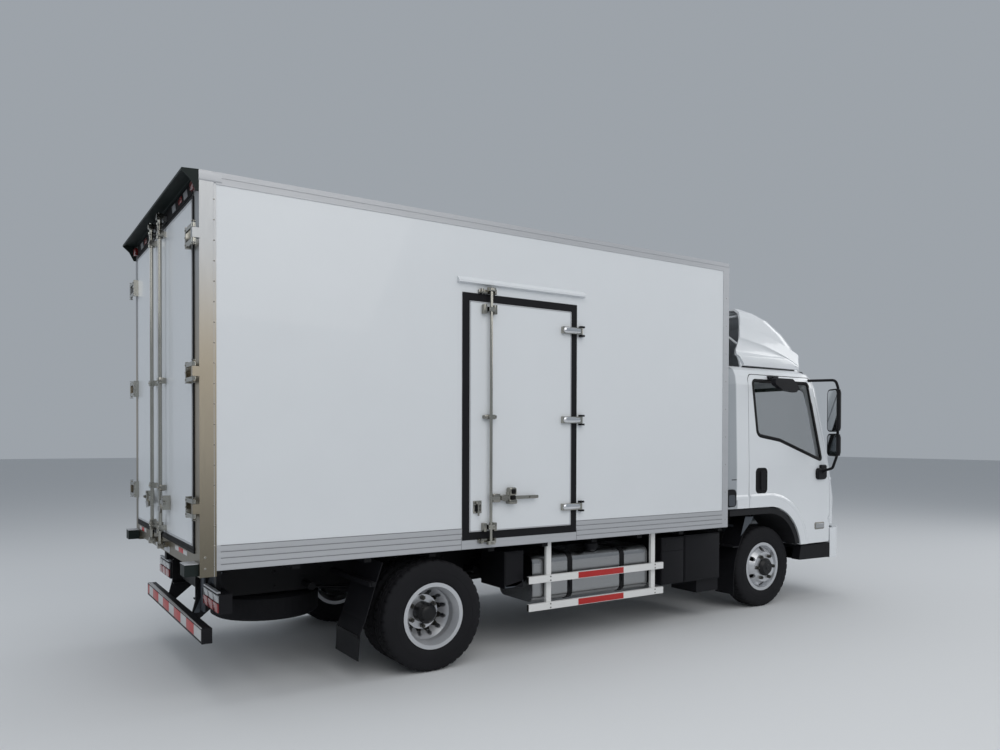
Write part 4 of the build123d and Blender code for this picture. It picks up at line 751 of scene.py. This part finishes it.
for n in range(14):
    z = 2545 + n * 16
    fans.pair((4460, 4720), (638, 643), (z, z + 7), 1)
for n in range(7):
    fans.block((4440, 4600), (-560 + n * 160, -440 + n * 160), (2929, 2934), 1.5)
fans.done("condenser_grilles", PLASTIC_AND_SHADE, slot="unit_dark")
blades.done("condenser_fans", DARK_AND_SHADE)
cool = Bunch()
back = BOX_LENGTH - 80 - 560
cool.block((back - 4, back + 545), (-622, 622), (2996, 3024.4), 4)
for y in (-300, 300):
    for radius in (30, 58, 84):
        cool.lathe((back + 22, y, 2925), (-1, 0, 0),
                   ((radius - 2, -6), (radius - 2, 8), (radius + 2, 8), (radius + 2, -6)), 32)
cool.done("evaporator_grilles", BOX_WHITE)

# Tank, boxes and guards
tank = Bunch()
ring = rounded(((-985, 355, 60), (-985, 705, 60), (-540, 705, 60), (-540, 355, 60)), 6)
for x in (2404, 3544):
    band(tank, ring, ((-2, 0), (2.4, 1.5), (2.4, 10.5), (-2, 12)), lambda y, z, step: (x + step, y, z))
tank.done("tank_seams", TANK)
cap = Bunch()
cap.lathe((3018, -915, 739), (0, 0, 1),
          ((0.5, 22), (48, 22), (56, 15), (56, -2), (50, -26), (46, -36)), 32,
          lambda n, k: -2.5 if n % 2 and k in (2, 3) else 0)
cap.block((2986, 3050), (-922, -908), (760, 772), 3)
cap.rod((2960, -930, 706), (2985, -940, 712), 4, 8)
for x in (2732, 3261):
    cap.block((x + 8, x + 36), (-996, -989), (470, 520), 2)
    cap.rod((x + 22, -993, 440), (x + 22, -993, 560), 5, 10)
cap.done("tank_cap_and_clamps", PLASTIC_AND_SHADE)
lids = Bunch()
for x, out, z in (((3738, 3988), 975, (365, 632)), ((3738, 3988), 975, (637, 742)),
                  ((4012, 4432), 975, (365, 747)), ((2172, 2328), 960, (490, 742))):
    lids.block(x, (-out - 4, -out + 1), z, 3)
lids.dome((3782, -979, 700), (0, -1, 0), 9, 5)
for x in (3800, 4080, 4360):
    lids.rod((x, -640, 350), (x, -900, 350), 12, 12)
lids.done("side_box_lids", PLASTIC_AND_SHADE)
fins = Bunch()
fins.prism([(2172, 484), (2250, 486), (2330, 520), (2330, 530), (2172, 500)], -964, -930)
fins.block((4872, 4880), (-760, -640), (700, 780), 2)
fins.done("side_box_fin", ARM_GREY)
guard_bolts = Bunch()
for side, word in SIDES:
    places = [(x, side * 1048.3, z + step) for x in (2525, 3592) for z in GUARD_ZS for step in (-14, 14)]
    bolts(guard_bolts, places, (0, side, 0), 6, 3.5)
for x in (2325, 3685):
    for z in GUARD_ZS:
        guard_bolts.pair((x - 1.5, x + 1.5), (1023, 1047), (z - 25, z + 25), 0.5)
guard_bolts.done("side_guard_bolts", NUTS)

# Chassis: brackets, pipes, air tank, bolts and mudflap clamps
arms = Bunch()
for side, word in SIDES:
    arms.prism([(4864, 867), (4976, 862), (4945, 818), (4804, 693)], *span(side, 906, 909))
    arms.block((160, 172), span(side, 392, 470), (455, 700), 1.5)
    arms.prism([(118, 440), (150, 440), (300, 690), (230, 690)], *span(side, 388, 392))
arms.done("grey_brackets", ARM_GREY)
pipes = Bunch()
for side, word in SIDES:
    pipes.rod((400, side * 300, 640), (4200, side * 300, 640), 9, 10)
    pipes.rod((400, side * 300, 610), (4200, side * 300, 610), 6, 8)
for x in range(500, 4200, 460):
    pipes.pair((x, x + 30), (290, 368), (598, 654), 2)
pipes.rod((2280, -505, 560), (2700, -505, 560), 105, 24)
pipes.rod((2272, -505, 560), (2708, -505, 560), 92, 24)
pipes.block((2350, 2380), (-500, -372), (600, 640), 2)
pipes.block((2600, 2630), (-500, -372), (600, 640), 2)
for x in (1420, 1636):
    for side, word in SIDES:
        pipes.rod((x, side * 470, 340), (x, side * 470, 470), 9, 8)
pipes.done("pipes_and_air_tank", FRAME_BLACK_AND_SHADE)
studs = Bunch()
for side, word in SIDES:
    for x in range(320, 4300, 330):
        bolts(studs, [(x, side * 375.5, z) for z in (560, 660)], (0, side, 0), 10, 6)
    bolts(studs, [(x, side * 375.5, 740) for x in range(200, 4300, 400)], (0, side, 0), 9, 5)
studs.done("frame_bolts", FRAME_BLACK_AND_SHADE)
flap_edges = Bunch()
flap_edges.pair((975, 989), (700, 1052), (296, 316), 1.5)
for side, word in SIDES:
    flap_edges.rod((1080, side * 672, 640), (1080, side * 1070, 640), 13, 12)
flap_edges.done("mudflap_clamps", FRAME_BLACK_AND_SHADE)

# Wheels: hub caps and studs
for side, word in SIDES:
    front = Bunch()
    y = side * FRONT_WHEEL_Y
    front.lathe((FRONT_AXLE_X, y, TYRE_RADIUS), (0, side, 0),
                ((0.5, 150), (22, 150), (26, 146), (26, 142), (56, 142), (64, 138), (64, 134)), 40)
    bolts(front, [(FRONT_AXLE_X + 45 * math.cos(a), side * 929, TYRE_RADIUS + 45 * math.sin(a))
                  for a in [math.pi * n / 3 for n in range(6)]], (0, side, 0), 5, 4)
    front.done(f"front_{word}_hub_cap", HUB, f"front_{word}_wheel")
    rear = Bunch()
    rear.lathe((REAR_AXLE_X, side * 872, TYRE_RADIUS), (0, side, 0),
               ((0.5, 122), (30, 121), (50, 116), (54, 112), (54, 108)), 40)
    bolts(rear, [(REAR_AXLE_X + 62 * math.cos(a), side * 983, TYRE_RADIUS + 62 * math.sin(a))
                 for a in [math.pi * n / 4 for n in range(8)]], (0, side, 0), 5, 4)
    rear.done(f"rear_{word}_hub_cap", HUB, f"rear_{word}_wheels")
    for end, plural, x, seat, _, circle in AXLES:
        studs = Bunch()
        for n in range(6):
            a = math.pi / 3 * n + (RIM_TURN if end == "front" else 0)
            px, pz = x + circle * math.sin(a), TYRE_RADIUS + circle * math.cos(a)
            studs.rod((px, side * (seat + 18), pz), (px, side * (seat + 34), pz), 8, 12)
        studs.done(f"{end}_{word}_wheel_studs", NUTS, f"{end}_{word}_wheel{plural}")

# Cab: window rubber, door handles, marker lamps and mirrors
WINDOW = ((4917, 2132, 45), (5738, 2132, 45), (5944, 1366, 24), (5800, 1408, 200),
          (5300, 1566, 200), (4980, 1612, 70))
REAR_PANEL_X = 4530
MIRROR_LEAN = math.radians(28)
MIRROR_HALF = 97
WINDSCREEN = ((-800, 1375, 70), (-735, 2118, 90), (735, 2118, 90), (800, 1375, 70))
for side, word in SIDES:
    door = f"cab_{word}_door"
    rubber = Bunch()
    band(rubber, rounded(WINDOW, 8), ((9, -1), (9, 1.2), (6, 2), (-20, 1.6), (-24, -0.5), (-25, -7.9)),
         on_side(side))
    recess = box_rows(4952, 5120, 1077, 1318, 44)
    sheet_over(rubber, recess, on_side(side), 2.5, 4)
    rubber.done(f"cab_{word}_window_rubber", RUBBER, door)
    grip = Bunch()
    sheet_over(grip, box_rows(5012, 5082, 1112, 1290, 24), on_side(side), 15, 6)
    grip.lathe((5036, side * 952, 1102), (0, side, 0), ((0.5, 3), (9, 3), (10, 0)), 16)
    grip.done(f"cab_{word}_door_handle", PLASTIC_AND_SHADE, door)
    frame_ring, lens = Bunch(), Bunch()
    sheet_over(frame_ring, box_rows(5838, 5989, 694, 764, 14), on_side(side), 5, 4)
    frame_ring.done(f"cab_{word}_marker_frame", HARDWARE, door)
    sheet_over(lens, box_rows(5850, 5977, 706, 752, 9), on_side(side), 9, 4)
    lens.done(f"cab_{word}_marker_lens", AMBER_LENS if side > 0 else CLEAR_LENS, door)
    glass = Bunch()
    lean = Matrix.Rotation(side * MIRROR_LEAN, 4, "Z")
    face = Vector((5880 - 11.2 * math.cos(MIRROR_LEAN), side * (1120 - 11.2 * math.sin(MIRROR_LEAN))))
    case = Bunch()
    for low, high in ((1655, 2070), (1418, 1638)):
        middle = at(face.x + 22, face.y + side * 4, (low + high) / 2)
        tall, wide = (high - low) / 2, MIRROR_HALF
        shell = rounded(((-wide, -tall, 46), (wide, -tall, 46), (wide, tall, 46), (-wide, tall, 46)), 6)
        loops = []
        for grow, depth in ((-14, -24), (-5, -26), (0, -20), (0, 6), (-16, 24), (-60, 34), (-wide, 36)):
            loops.append([(p.x, p.y, depth) for p in grown(shell, grow)])
        for one, two in zip(loops, loops[1:]):
            grid = []
            for loop in (one, two):
                grid.append([case.mesh.verts.new(middle + lean @ (Vector((d, a, u)) / 1000))
                             for a, u, d in loop])
            for k in range(len(grid[0])):
                m = (k + 1) % len(grid[0])
                case.mesh.faces.new((grid[0][k], grid[0][m], grid[1][m], grid[1][k]))
        glass.mesh.faces.new([glass.mesh.verts.new(middle + lean @ (Vector((-24.5, a, u)) / 1000))
                              for a, u, d in loops[0]])
    bmesh.ops.remove_doubles(case.mesh, verts=case.mesh.verts, dist=0.00002)
    case.done(f"cab_{word}_mirror_cases", PLASTIC_AND_SHADE, door)
    glass.done(f"cab_{word}_mirror_glass", MIRROR, door)
    joints = Bunch()
    for low, high in ((1665, 2060), (1425, 1630)):
        mid = (low + high) / 2
        joints.lathe((5900, side * 1150, mid), (0, 0, 1), ((13, -30), (20, -26), (20, 26), (13, 30)), 20)
    joints.lathe((5925, side * 975, 1268), (0, side, 0), ((12, -26), (24, -26), (24, 8), (14, 14)), 20)
    sheet_over(joints, box_rows(5842, 5996, 1186, 1298, 34), on_side(side), 30, 14)
    sheet_over(joints, box_rows(5902, 5998, 1240, 1330, 14), on_side(side), 22, 8)
    joints.done(f"cab_{word}_mirror_clamps", PLASTIC_AND_SHADE, door)

rubber = Bunch()
band(rubber, rounded(WINDSCREEN, 8), ((10, -1), (10, 1.4), (6, 2.2), (-30, 1.4), (-34, -7.9)), on_front)
band(rubber, box_rows(-560, 560, 1640, 2040, 60), ((10, -1), (10, 2), (-22, 2), (-24, -8)),
     lambda y, z, proud: (REAR_PANEL_X - proud, y, z))
rubber.done("cab_window_rubbers", RUBBER, "cab")

vents = Bunch()
for side, word in SIDES:
    sheet_over(vents, box_rows(4560, 4684, 966, 1128, 40), on_side(side), 12, 6)
    sheet_over(vents, box_rows(4626, 4694, 1210, 1218, 3), on_side(side), 1.2, 0.8)
vents.done("cab_corner_vents", PLASTIC_AND_SHADE, "cab")
cores = Bunch()
for side, word in SIDES:
    sheet_over(cores, box_rows(4572, 4668, 972, 1084, 26), on_side(side), 15, 8)
cores.done("cab_corner_vent_cores", ARM_GREY, "cab")

FLARE, ARCH_Z, FLARE_PROUD = 580, 480, 9     # the flare's radius, its centre's height, how proud


def flare_run(low, high):
    """Points along the flare's outer edge, forward from x = low to high."""
    level = [(4560 + 35 * n, ARCH_Z + FLARE) for n in range(17)]
    turns = [math.pi / 2 * n / 40 for n in range(40)]
    arc = [(FRONT_AXLE_X + FLARE * math.sin(a), ARCH_Z + FLARE * math.cos(a)) for a in turns]
    return [p for p in level + arc if low <= p[0] <= high and p[1] > 575]


for side, word in SIDES:
    for name, body, low, high in ((f"cab_{word}_flare_edge", "cab", 4540, 4856),
                                  (f"cab_{word}_door_flare_edge", f"cab_{word}_door", 4868, 5800)):
        edge = Bunch()
        rows = []
        for x, z in flare_run(low, high):
            centre = Vector((FRONT_AXLE_X if x > FRONT_AXLE_X else x, ARCH_Z))
            away = (Vector((x, z)) - centre).normalized()
            row = []
            for reach, proud in ((16, -0.4), (10, 1.5), (4, 5), (-2, FLARE_PROUD + 0.9),
                                 (-12, FLARE_PROUD + 1.6), (-30, FLARE_PROUD + 0.5),
                                 (-34, FLARE_PROUD - 0.6)):
                p = Vector((x, z)) + away * reach
                row.append((p.x, side * (cab_side(p.y) + proud), p.y))
            rows.append(row)
        edge.skin(rows)
        edge.done(name, CAB_WHITE, body, angle=70)

# A near-black strip over each door's shut gap: painted shade.
shut_line_shade = Bunch()
SHUT = ((4862, 1068, 0), (4862, 2181, 60), (5778, 2181, 50), (5985, 1500, 0))
for side, word in SIDES:
    line = rounded(SHUT, 6)
    inner, outer = grown(line, -1.5), grown(line, 3.5)
    shut_line_shade.skin([[(p.x, side * (cab_side(p.y) + 0.4), p.y) for p in (inner[k], outer[k])]
                   for k in range(len(line)) if line[k].x < 5800])
shut_line_shade.done("door_shut_line_painted_shade", DARK_AND_SHADE, "cab")

# Roof fairing: flared lower panel, its gasket and the rear edge's lip
FLARE_TOP = ((4845, 2527), (5000, 2502), (5197, 2466), (5380, 2415), (5562, 2357), (5700, 2300))
fairing = Bunch()
LEDGE, BASE = 2356, 2262
# Rows of (height, x) down the fairing's rear edge and of (height, half width) of its sides
REAR_EDGE = ((2262, 4882), (2305, 4872), (2338, 4840), (2362, 4788), (2392, 4784), (2430, 4806),
             (2480, 4832), (2530, 4846), (2580, 4852))
FAIRING_HALF = ((2225, 846), (2390, 846), (2435, 843), (2490, 838), (2598, 836), (2707, 830))

for side, word in SIDES:
    rows = []
    stations = [4845] + [4900 + 50 * n for n in range(17)]
    for n, x in enumerate(stations):
        top = between(FLARE_TOP, x)
        ledge = min(LEDGE, max(top - 12, BASE + 30))
        scoop = max(0.0, top - ledge)
        far = max(0.0, min(1.0, (5700 - x) / 700))
        row = []
        for z, proud in (
            (top + 110, 0.6), (top + 50, 2.5), (top + 6, 6), (top, 6.5), (top - 0.06 * scoop, 5),
            (top - 0.14 * scoop, 1), (top - 0.40 * scoop, 0.9), (top - 0.72 * scoop, 2 + 2 * far),
            (ledge + 8, 5 + 9 * far), (ledge, 5.5 + 15 * far), (ledge - 8, 5.5 + 17 * far),
            (BASE + 30, 5 + 17 * far), (BASE + 3, 4 + 16 * far), (BASE, 0), (BASE, -16),
        ):
            y = between(FAIRING_HALF, z) + proud
            row.append((x if n else between(REAR_EDGE, max(z, BASE)) - 1, side * y, z))
        rows.append(row)
    fairing.skin(rows)
    fairing.skin([rows[0], [(p[0] + 8, side * 826, p[2]) for p in rows[0]]])
fairing.done("fairing_side_panels", CAB_WHITE, "cab", angle=50)
gasket = Bunch()
gasket.pair((4872, 5640), (838, 848.5), (2249, 2261), 2)
path = [(5640, 848), (5760, 838), (5842, 790), (5880, 700), (5894, 500), (5902, 0)]
gasket.skin([[(x, y, 2226), (x + 5, y * 1.006, 2229), (x + 5, y * 1.006, 2244), (x, y, 2247)]
             for x, y in path + [(x, -y) for x, y in reversed(path[:-1])]])
gasket.done("fairing_gasket", RUBBER, "cab")

# Front: grille bars, lamps, wipers, bumper openings
bars = Bunch()
for z, depth in ((812, 6), (836, 7), (862, 7), (887, 6)):
    rows = []
    for n in range(33):
        y = -508 + n * 31.75
        x = cab_front(y, z)
        rows.append([(x - 1, y, z - 7), (x + depth, y, z - 5), (x + depth, y, z + 5), (x - 1, y, z + 7)])
    bars.skin(rows)
bars.done("grille_bars", CHROME, "cab")
HEADLAMP = ((570, 785, 30), (570, 935, 30), (905, 955, 40), (905, 800, 40))
bezel, bowls, bulbs, turn = Bunch(), Bunch(), Bunch(), Bunch()
for side, word in SIDES:
    shape = rounded([(side * y, z, r) for y, z, r in HEADLAMP], 5)
    band(bezel, shape, ((5, -1), (5, 1.5), (-7, 1.5), (-8, -2)), on_front)
    for y, radius in ((640, 52), (758, 46)):
        spot = (cab_front(y, 866), side * y, 866)
        bowls.lathe(spot, (1, 0, 0), ((0.5, -1), (radius * 0.6, -0.4), (radius, 1.6), (radius + 6, 0.6),
                                      (radius + 7, -8)), 36)
        bulbs.dome(spot, (1, 0, 0), radius * 0.42, 5, 20)
    turn.skin([[on_front(side * y, z, 1.6) for z in (815, 850, 885, 920, 938)]
               for y in (838, 855, 872, 889)])
bezel.done("headlamp_bezels", PLASTIC_AND_SHADE, "cab")
bowls.done("headlamp_bowls", CHROME, "cab")
bulbs.done("headlamp_bulbs", CLEAR_LENS, "cab")
turn.done("turn_lamps", AMBER_LENS, "cab")
wipers = Bunch()
reach = 560
for y in (-520, 120):
    a = (cab_front(y, 1350) + 8, y, 1350)
    b = (cab_front(y + reach, 1450) + 10, y + reach, 1450)
    wipers.rod(a, b, 7, 8)
    wipers.lathe((a[0] - 8, a[1], a[2]), (1, 0, 0), ((18, -6), (18, 8), (10, 16), (0.5, 18)), 20)
    for n in range(8):
        t0, t1 = 0.3 + n * 0.085, 0.3 + (n + 1) * 0.085
        y0, y1 = y + reach * t0 - 60, y + reach * t1 - 60
        z0, z1 = 1350 + 100 * t0 + 46, 1350 + 100 * t1 + 46
        wipers.rod((cab_front(y0, z0) + 4, y0, z0), (cab_front(y1, z1) + 4, y1, z1), 4.5, 6)
wipers.done("wipers", PLASTIC_AND_SHADE, "cab")
# A near-black line along the front panel's seam: painted shade.
panel_seam_shade = Bunch()
panel_seam_shade.skin([[on_front(-930 + n * 62, z, 0.7) for z in (1338, 1344)] for n in range(31)])
panel_seam_shade.done("front_panel_seam_painted_shade", DARK_AND_SHADE, "cab")


BUMPER = (6355, 948, 200)      # its front on the centre line, half width and corner radius


def bumper_front(y):
    """X of the bumper's front across the truck."""
    return bowed(y, *BUMPER)


intake, fog_ring, fog = Bunch(), Bunch(), Bunch()
for side, word in SIDES:
    ys = [190 + n * 36 for n in range(12)]
    intake.skin([[(bumper_front(y) + out, side * y, z) for out, z in
                  ((-1, 437), (1.2, 442), (1.2, 500), (1.2, 557), (-1, 562))] for y in ys])
    for n in range(5):
        z = 455 + n * 22
        intake.skin([[(bumper_front(y) + out, side * y, z + up) for out, up in
                      ((0, -4), (2, -3), (2, 3), (0, 4))] for y in ys])
    x = bumper_front(700)
    fog_ring.lathe((x, side * 700, 500), (1, 0, 0), ((52, -6), (52, 2), (40, 4), (38, -3)), 32)
    fog.lathe((x, side * 700, 500), (1, 0, 0), ((0.5, 3), (26, 2), (38, -1), (38, -4)), 32)
intake.done("bumper_intakes", DARK_AND_SHADE)
fog_ring.done("fog_lamp_rings", PLASTIC_AND_SHADE)
fog.done("fog_lamps", CLEAR_LENS)
step_trim = Bunch()
step_trim.pair((5640, 6078), (944.4, 946.6), (540, 546), 0.6)
for n in range(9):
    step_trim.pair((5690 + n * 40, 5705 + n * 40), (730, 850), (547.6, 550.5), 0.8)
step_trim.done("step_trims", PLASTIC_AND_SHADE)


# Seats

SEATS = (("driver", 190, 690, (440,)), ("passenger", -760, 130, (-530, -100)))
BACK_LEAN = -76


def cushion(name, centre, half, radius, lean, crown, channels, body, replaces=()):
    """A crowned pad with sewn channels across its face, its axes: along, across, up."""
    mesh = bmesh.new()
    bmesh.ops.create_cube(mesh, size=2)
    bmesh.ops.subdivide_edges(mesh, edges=mesh.edges, cuts=22, use_grid_fill=True)
    turn = Matrix.Rotation(math.radians(lean), 4, "Y")
    for vert in mesh.verts:
        place = Vector([c * h for c, h in zip(vert.co, half)])
        core = Vector([max(-(h - radius), min(h - radius, p)) for p, h in zip(place, half)])
        away = place - core
        if away.length > 0.001:
            place = core + away.normalized() * radius
        u, v = place.x / half[0], place.y / half[1]
        if vert.co.z > 0:
            place.z += crown * max(0, 1 - u * u) * max(0, 1 - v * v)
            for way, spot, width, depth in channels:
                gap = (place.x if way == "x" else place.y) - spot
                place.z -= depth * math.exp(-(gap / width) ** 2) * min(1, vert.co.z)
        vert.co = at(*(Vector(centre) + (turn @ place)))
    bunch = Bunch()
    bunch.mesh.free()
    bunch.mesh = mesh
    piece = bunch.done(name, CLOTH, body, angle=60, replaces=replaces)
    return piece


plinth = Bunch()
for name, low, high, heads in SEATS:
    middle, half = (low + high) / 2, (high - low) / 2
    wings = [("y", way * (half - 90), 7, 9) for way in (-1, 1)]
    if name == "passenger":
        wings.append(("y", 0, 8, 16))
    across = [("x", spot, 7, 7) for spot in (-110, 20, 150)]
    cushion(f"{name}_seat_cushion", (5122, middle, 1172), (256, half - 2, 60), 46, -3, 16, wings + across,
            "cab", ("seats",))
    across = [("x", spot, 7, 7) for spot in (-140, 10, 160)]
    cushion(f"{name}_seat_back", (4832, middle, 1500), (314, half - 8, 55), 44, BACK_LEAN, 14,
            wings + across, "cab", ("seats",))
    for k, y in enumerate(heads):
        cushion(f"{name}_headrest_{k}", (4736, y, 1895), (82, 128, 44), 38, BACK_LEAN, 8, (), "cab",
                ("seats",))
    plinth.block((4880, 5290), (low + 36, high - 36), (990.5, 1116), 10)
    for y in (low + 110, high - 110):
        plinth.rod((4760, y, 1790), (4742, y, 1860), 6, 10)
plinth.done("seat_plinths", PLASTIC_AND_SHADE, "cab")
dash = Bunch()
dash.block((5930, 6010), (290, 590), (1318, 1352), 14)
dash.block((5893, 5915), (-140, 140), (1190, 1280), 6)
for y in (-640, -230, 220, 700):
    for n in range(4):
        dash.block((5906, 5924), (y - 60, y + 60), (1222 + n * 14, 1229 + n * 14), 2)
dash.rod((5600, 60, 1000), (5560, 60, 1210), 11, 14)
dash.dome((5560, 60, 1222), (0, 0, 1), 26, 30, 16)
dash.done("dashboard_fittings", PLASTIC_AND_SHADE, "cab")


# The camera stands where the photograph was taken.

FOCAL_PX = 797.28
CENTRE_V = 448.2
YAW, PITCH, ROLL = math.radians(56.85), math.radians(-0.736), math.radians(0.161)
EYE = at(-1048.3, -5819.0, 1586.5)
IMAGE_W, IMAGE_H = 1000, 750
SENSOR = 36.0

ahead = Vector((math.cos(YAW) * math.cos(PITCH), math.sin(YAW) * math.cos(PITCH), math.sin(PITCH)))
level = Vector((math.sin(YAW), -math.cos(YAW), 0))
upright = level.cross(ahead)
rolled_right = math.cos(ROLL) * level + math.sin(ROLL) * upright
rolled_up = -math.sin(ROLL) * level + math.cos(ROLL) * upright
camera = add_object("camera", bpy.data.cameras.new("camera"))
camera.data.sensor_width = SENSOR
camera.data.lens = FOCAL_PX * SENSOR / IMAGE_W
camera.data.shift_y = (CENTRE_V - IMAGE_H / 2) / IMAGE_W
camera.data.clip_start, camera.data.clip_end = 0.1, 300
rotation = Matrix((rolled_right, rolled_up, -ahead)).transposed().to_4x4()
camera.matrix_world = Matrix.Translation(EYE) @ rotation
bpy.context.scene.camera = camera


# Floor, world and lamps

def stage_material():
    mat = bpy.data.materials.new("pale_floor")
    mat.use_nodes = True
    nodes, links = mat.node_tree.nodes, mat.node_tree.links
    shader = nodes["Principled BSDF"]
    shader.inputs["Roughness"].default_value = 0.9
    shader.inputs["Specular IOR Level"].default_value = 0.1
    noise = nodes.new("ShaderNodeTexNoise")
    noise.inputs["Scale"].default_value = 0.7
    mix = nodes.new("ShaderNodeMix")
    mix.data_type = "RGBA"
    mix.inputs["A"].default_value = (0.66, 0.67, 0.68, 1)
    mix.inputs["B"].default_value = (0.69, 0.70, 0.71, 1)
    links.new(noise.outputs["Fac"], mix.inputs["Factor"])
    links.new(mix.outputs["Result"], shader.inputs["Base Color"])
    return mat


floor = bpy.data.meshes.new("floor")
reach = 60
floor.from_pydata([(-reach, -reach, 0), (reach, -reach, 0), (reach, reach, 0), (-reach, reach, 0)], [],
                  [(0, 1, 2, 3)])
floor.materials.append(stage_material())
floor_object = add_object("floor", floor)
floor_object.location.z = -0.0005

world = bpy.data.worlds.new("world")
world.use_nodes = True
bpy.context.scene.world = world
nodes, links = world.node_tree.nodes, world.node_tree.links
background = nodes["Background"]
background.inputs["Color"].default_value = (0.80, 0.87, 0.95, 1)
background.inputs["Strength"].default_value = 0.42


def lamp(name, spot, aim, size, power, colour):
    data = bpy.data.lights.new(name, "AREA")
    data.shape = "RECTANGLE"
    data.size, data.size_y = size
    data.energy = power
    data.color = colour
    obj = add_object(name, data)
    obj.location = spot
    obj.rotation_euler = (Vector(aim) - Vector(spot)).to_track_quat("-Z", "Y").to_euler()


lamp("key", (-2.0, -9.0, 8.0), (0, 0, 1.2), (12, 10), 510, (1.0, 0.98, 0.95))
lamp("rear_fill", (-11.0, 3.0, 6.0), (-2, 0, 1.5), (5, 5), 150, (0.92, 0.96, 1.0))
lamp("top", (0.0, 1.0, 11.0), (0, 0, 0), (13, 8), 310, (1, 1, 1))
lamp("front_fill", (11.0, -4.0, 5.0), (2, 0, 1.2), (5, 4), 180, (1, 1, 1))

bpy.context.scene.view_settings.view_transform = "Standard"
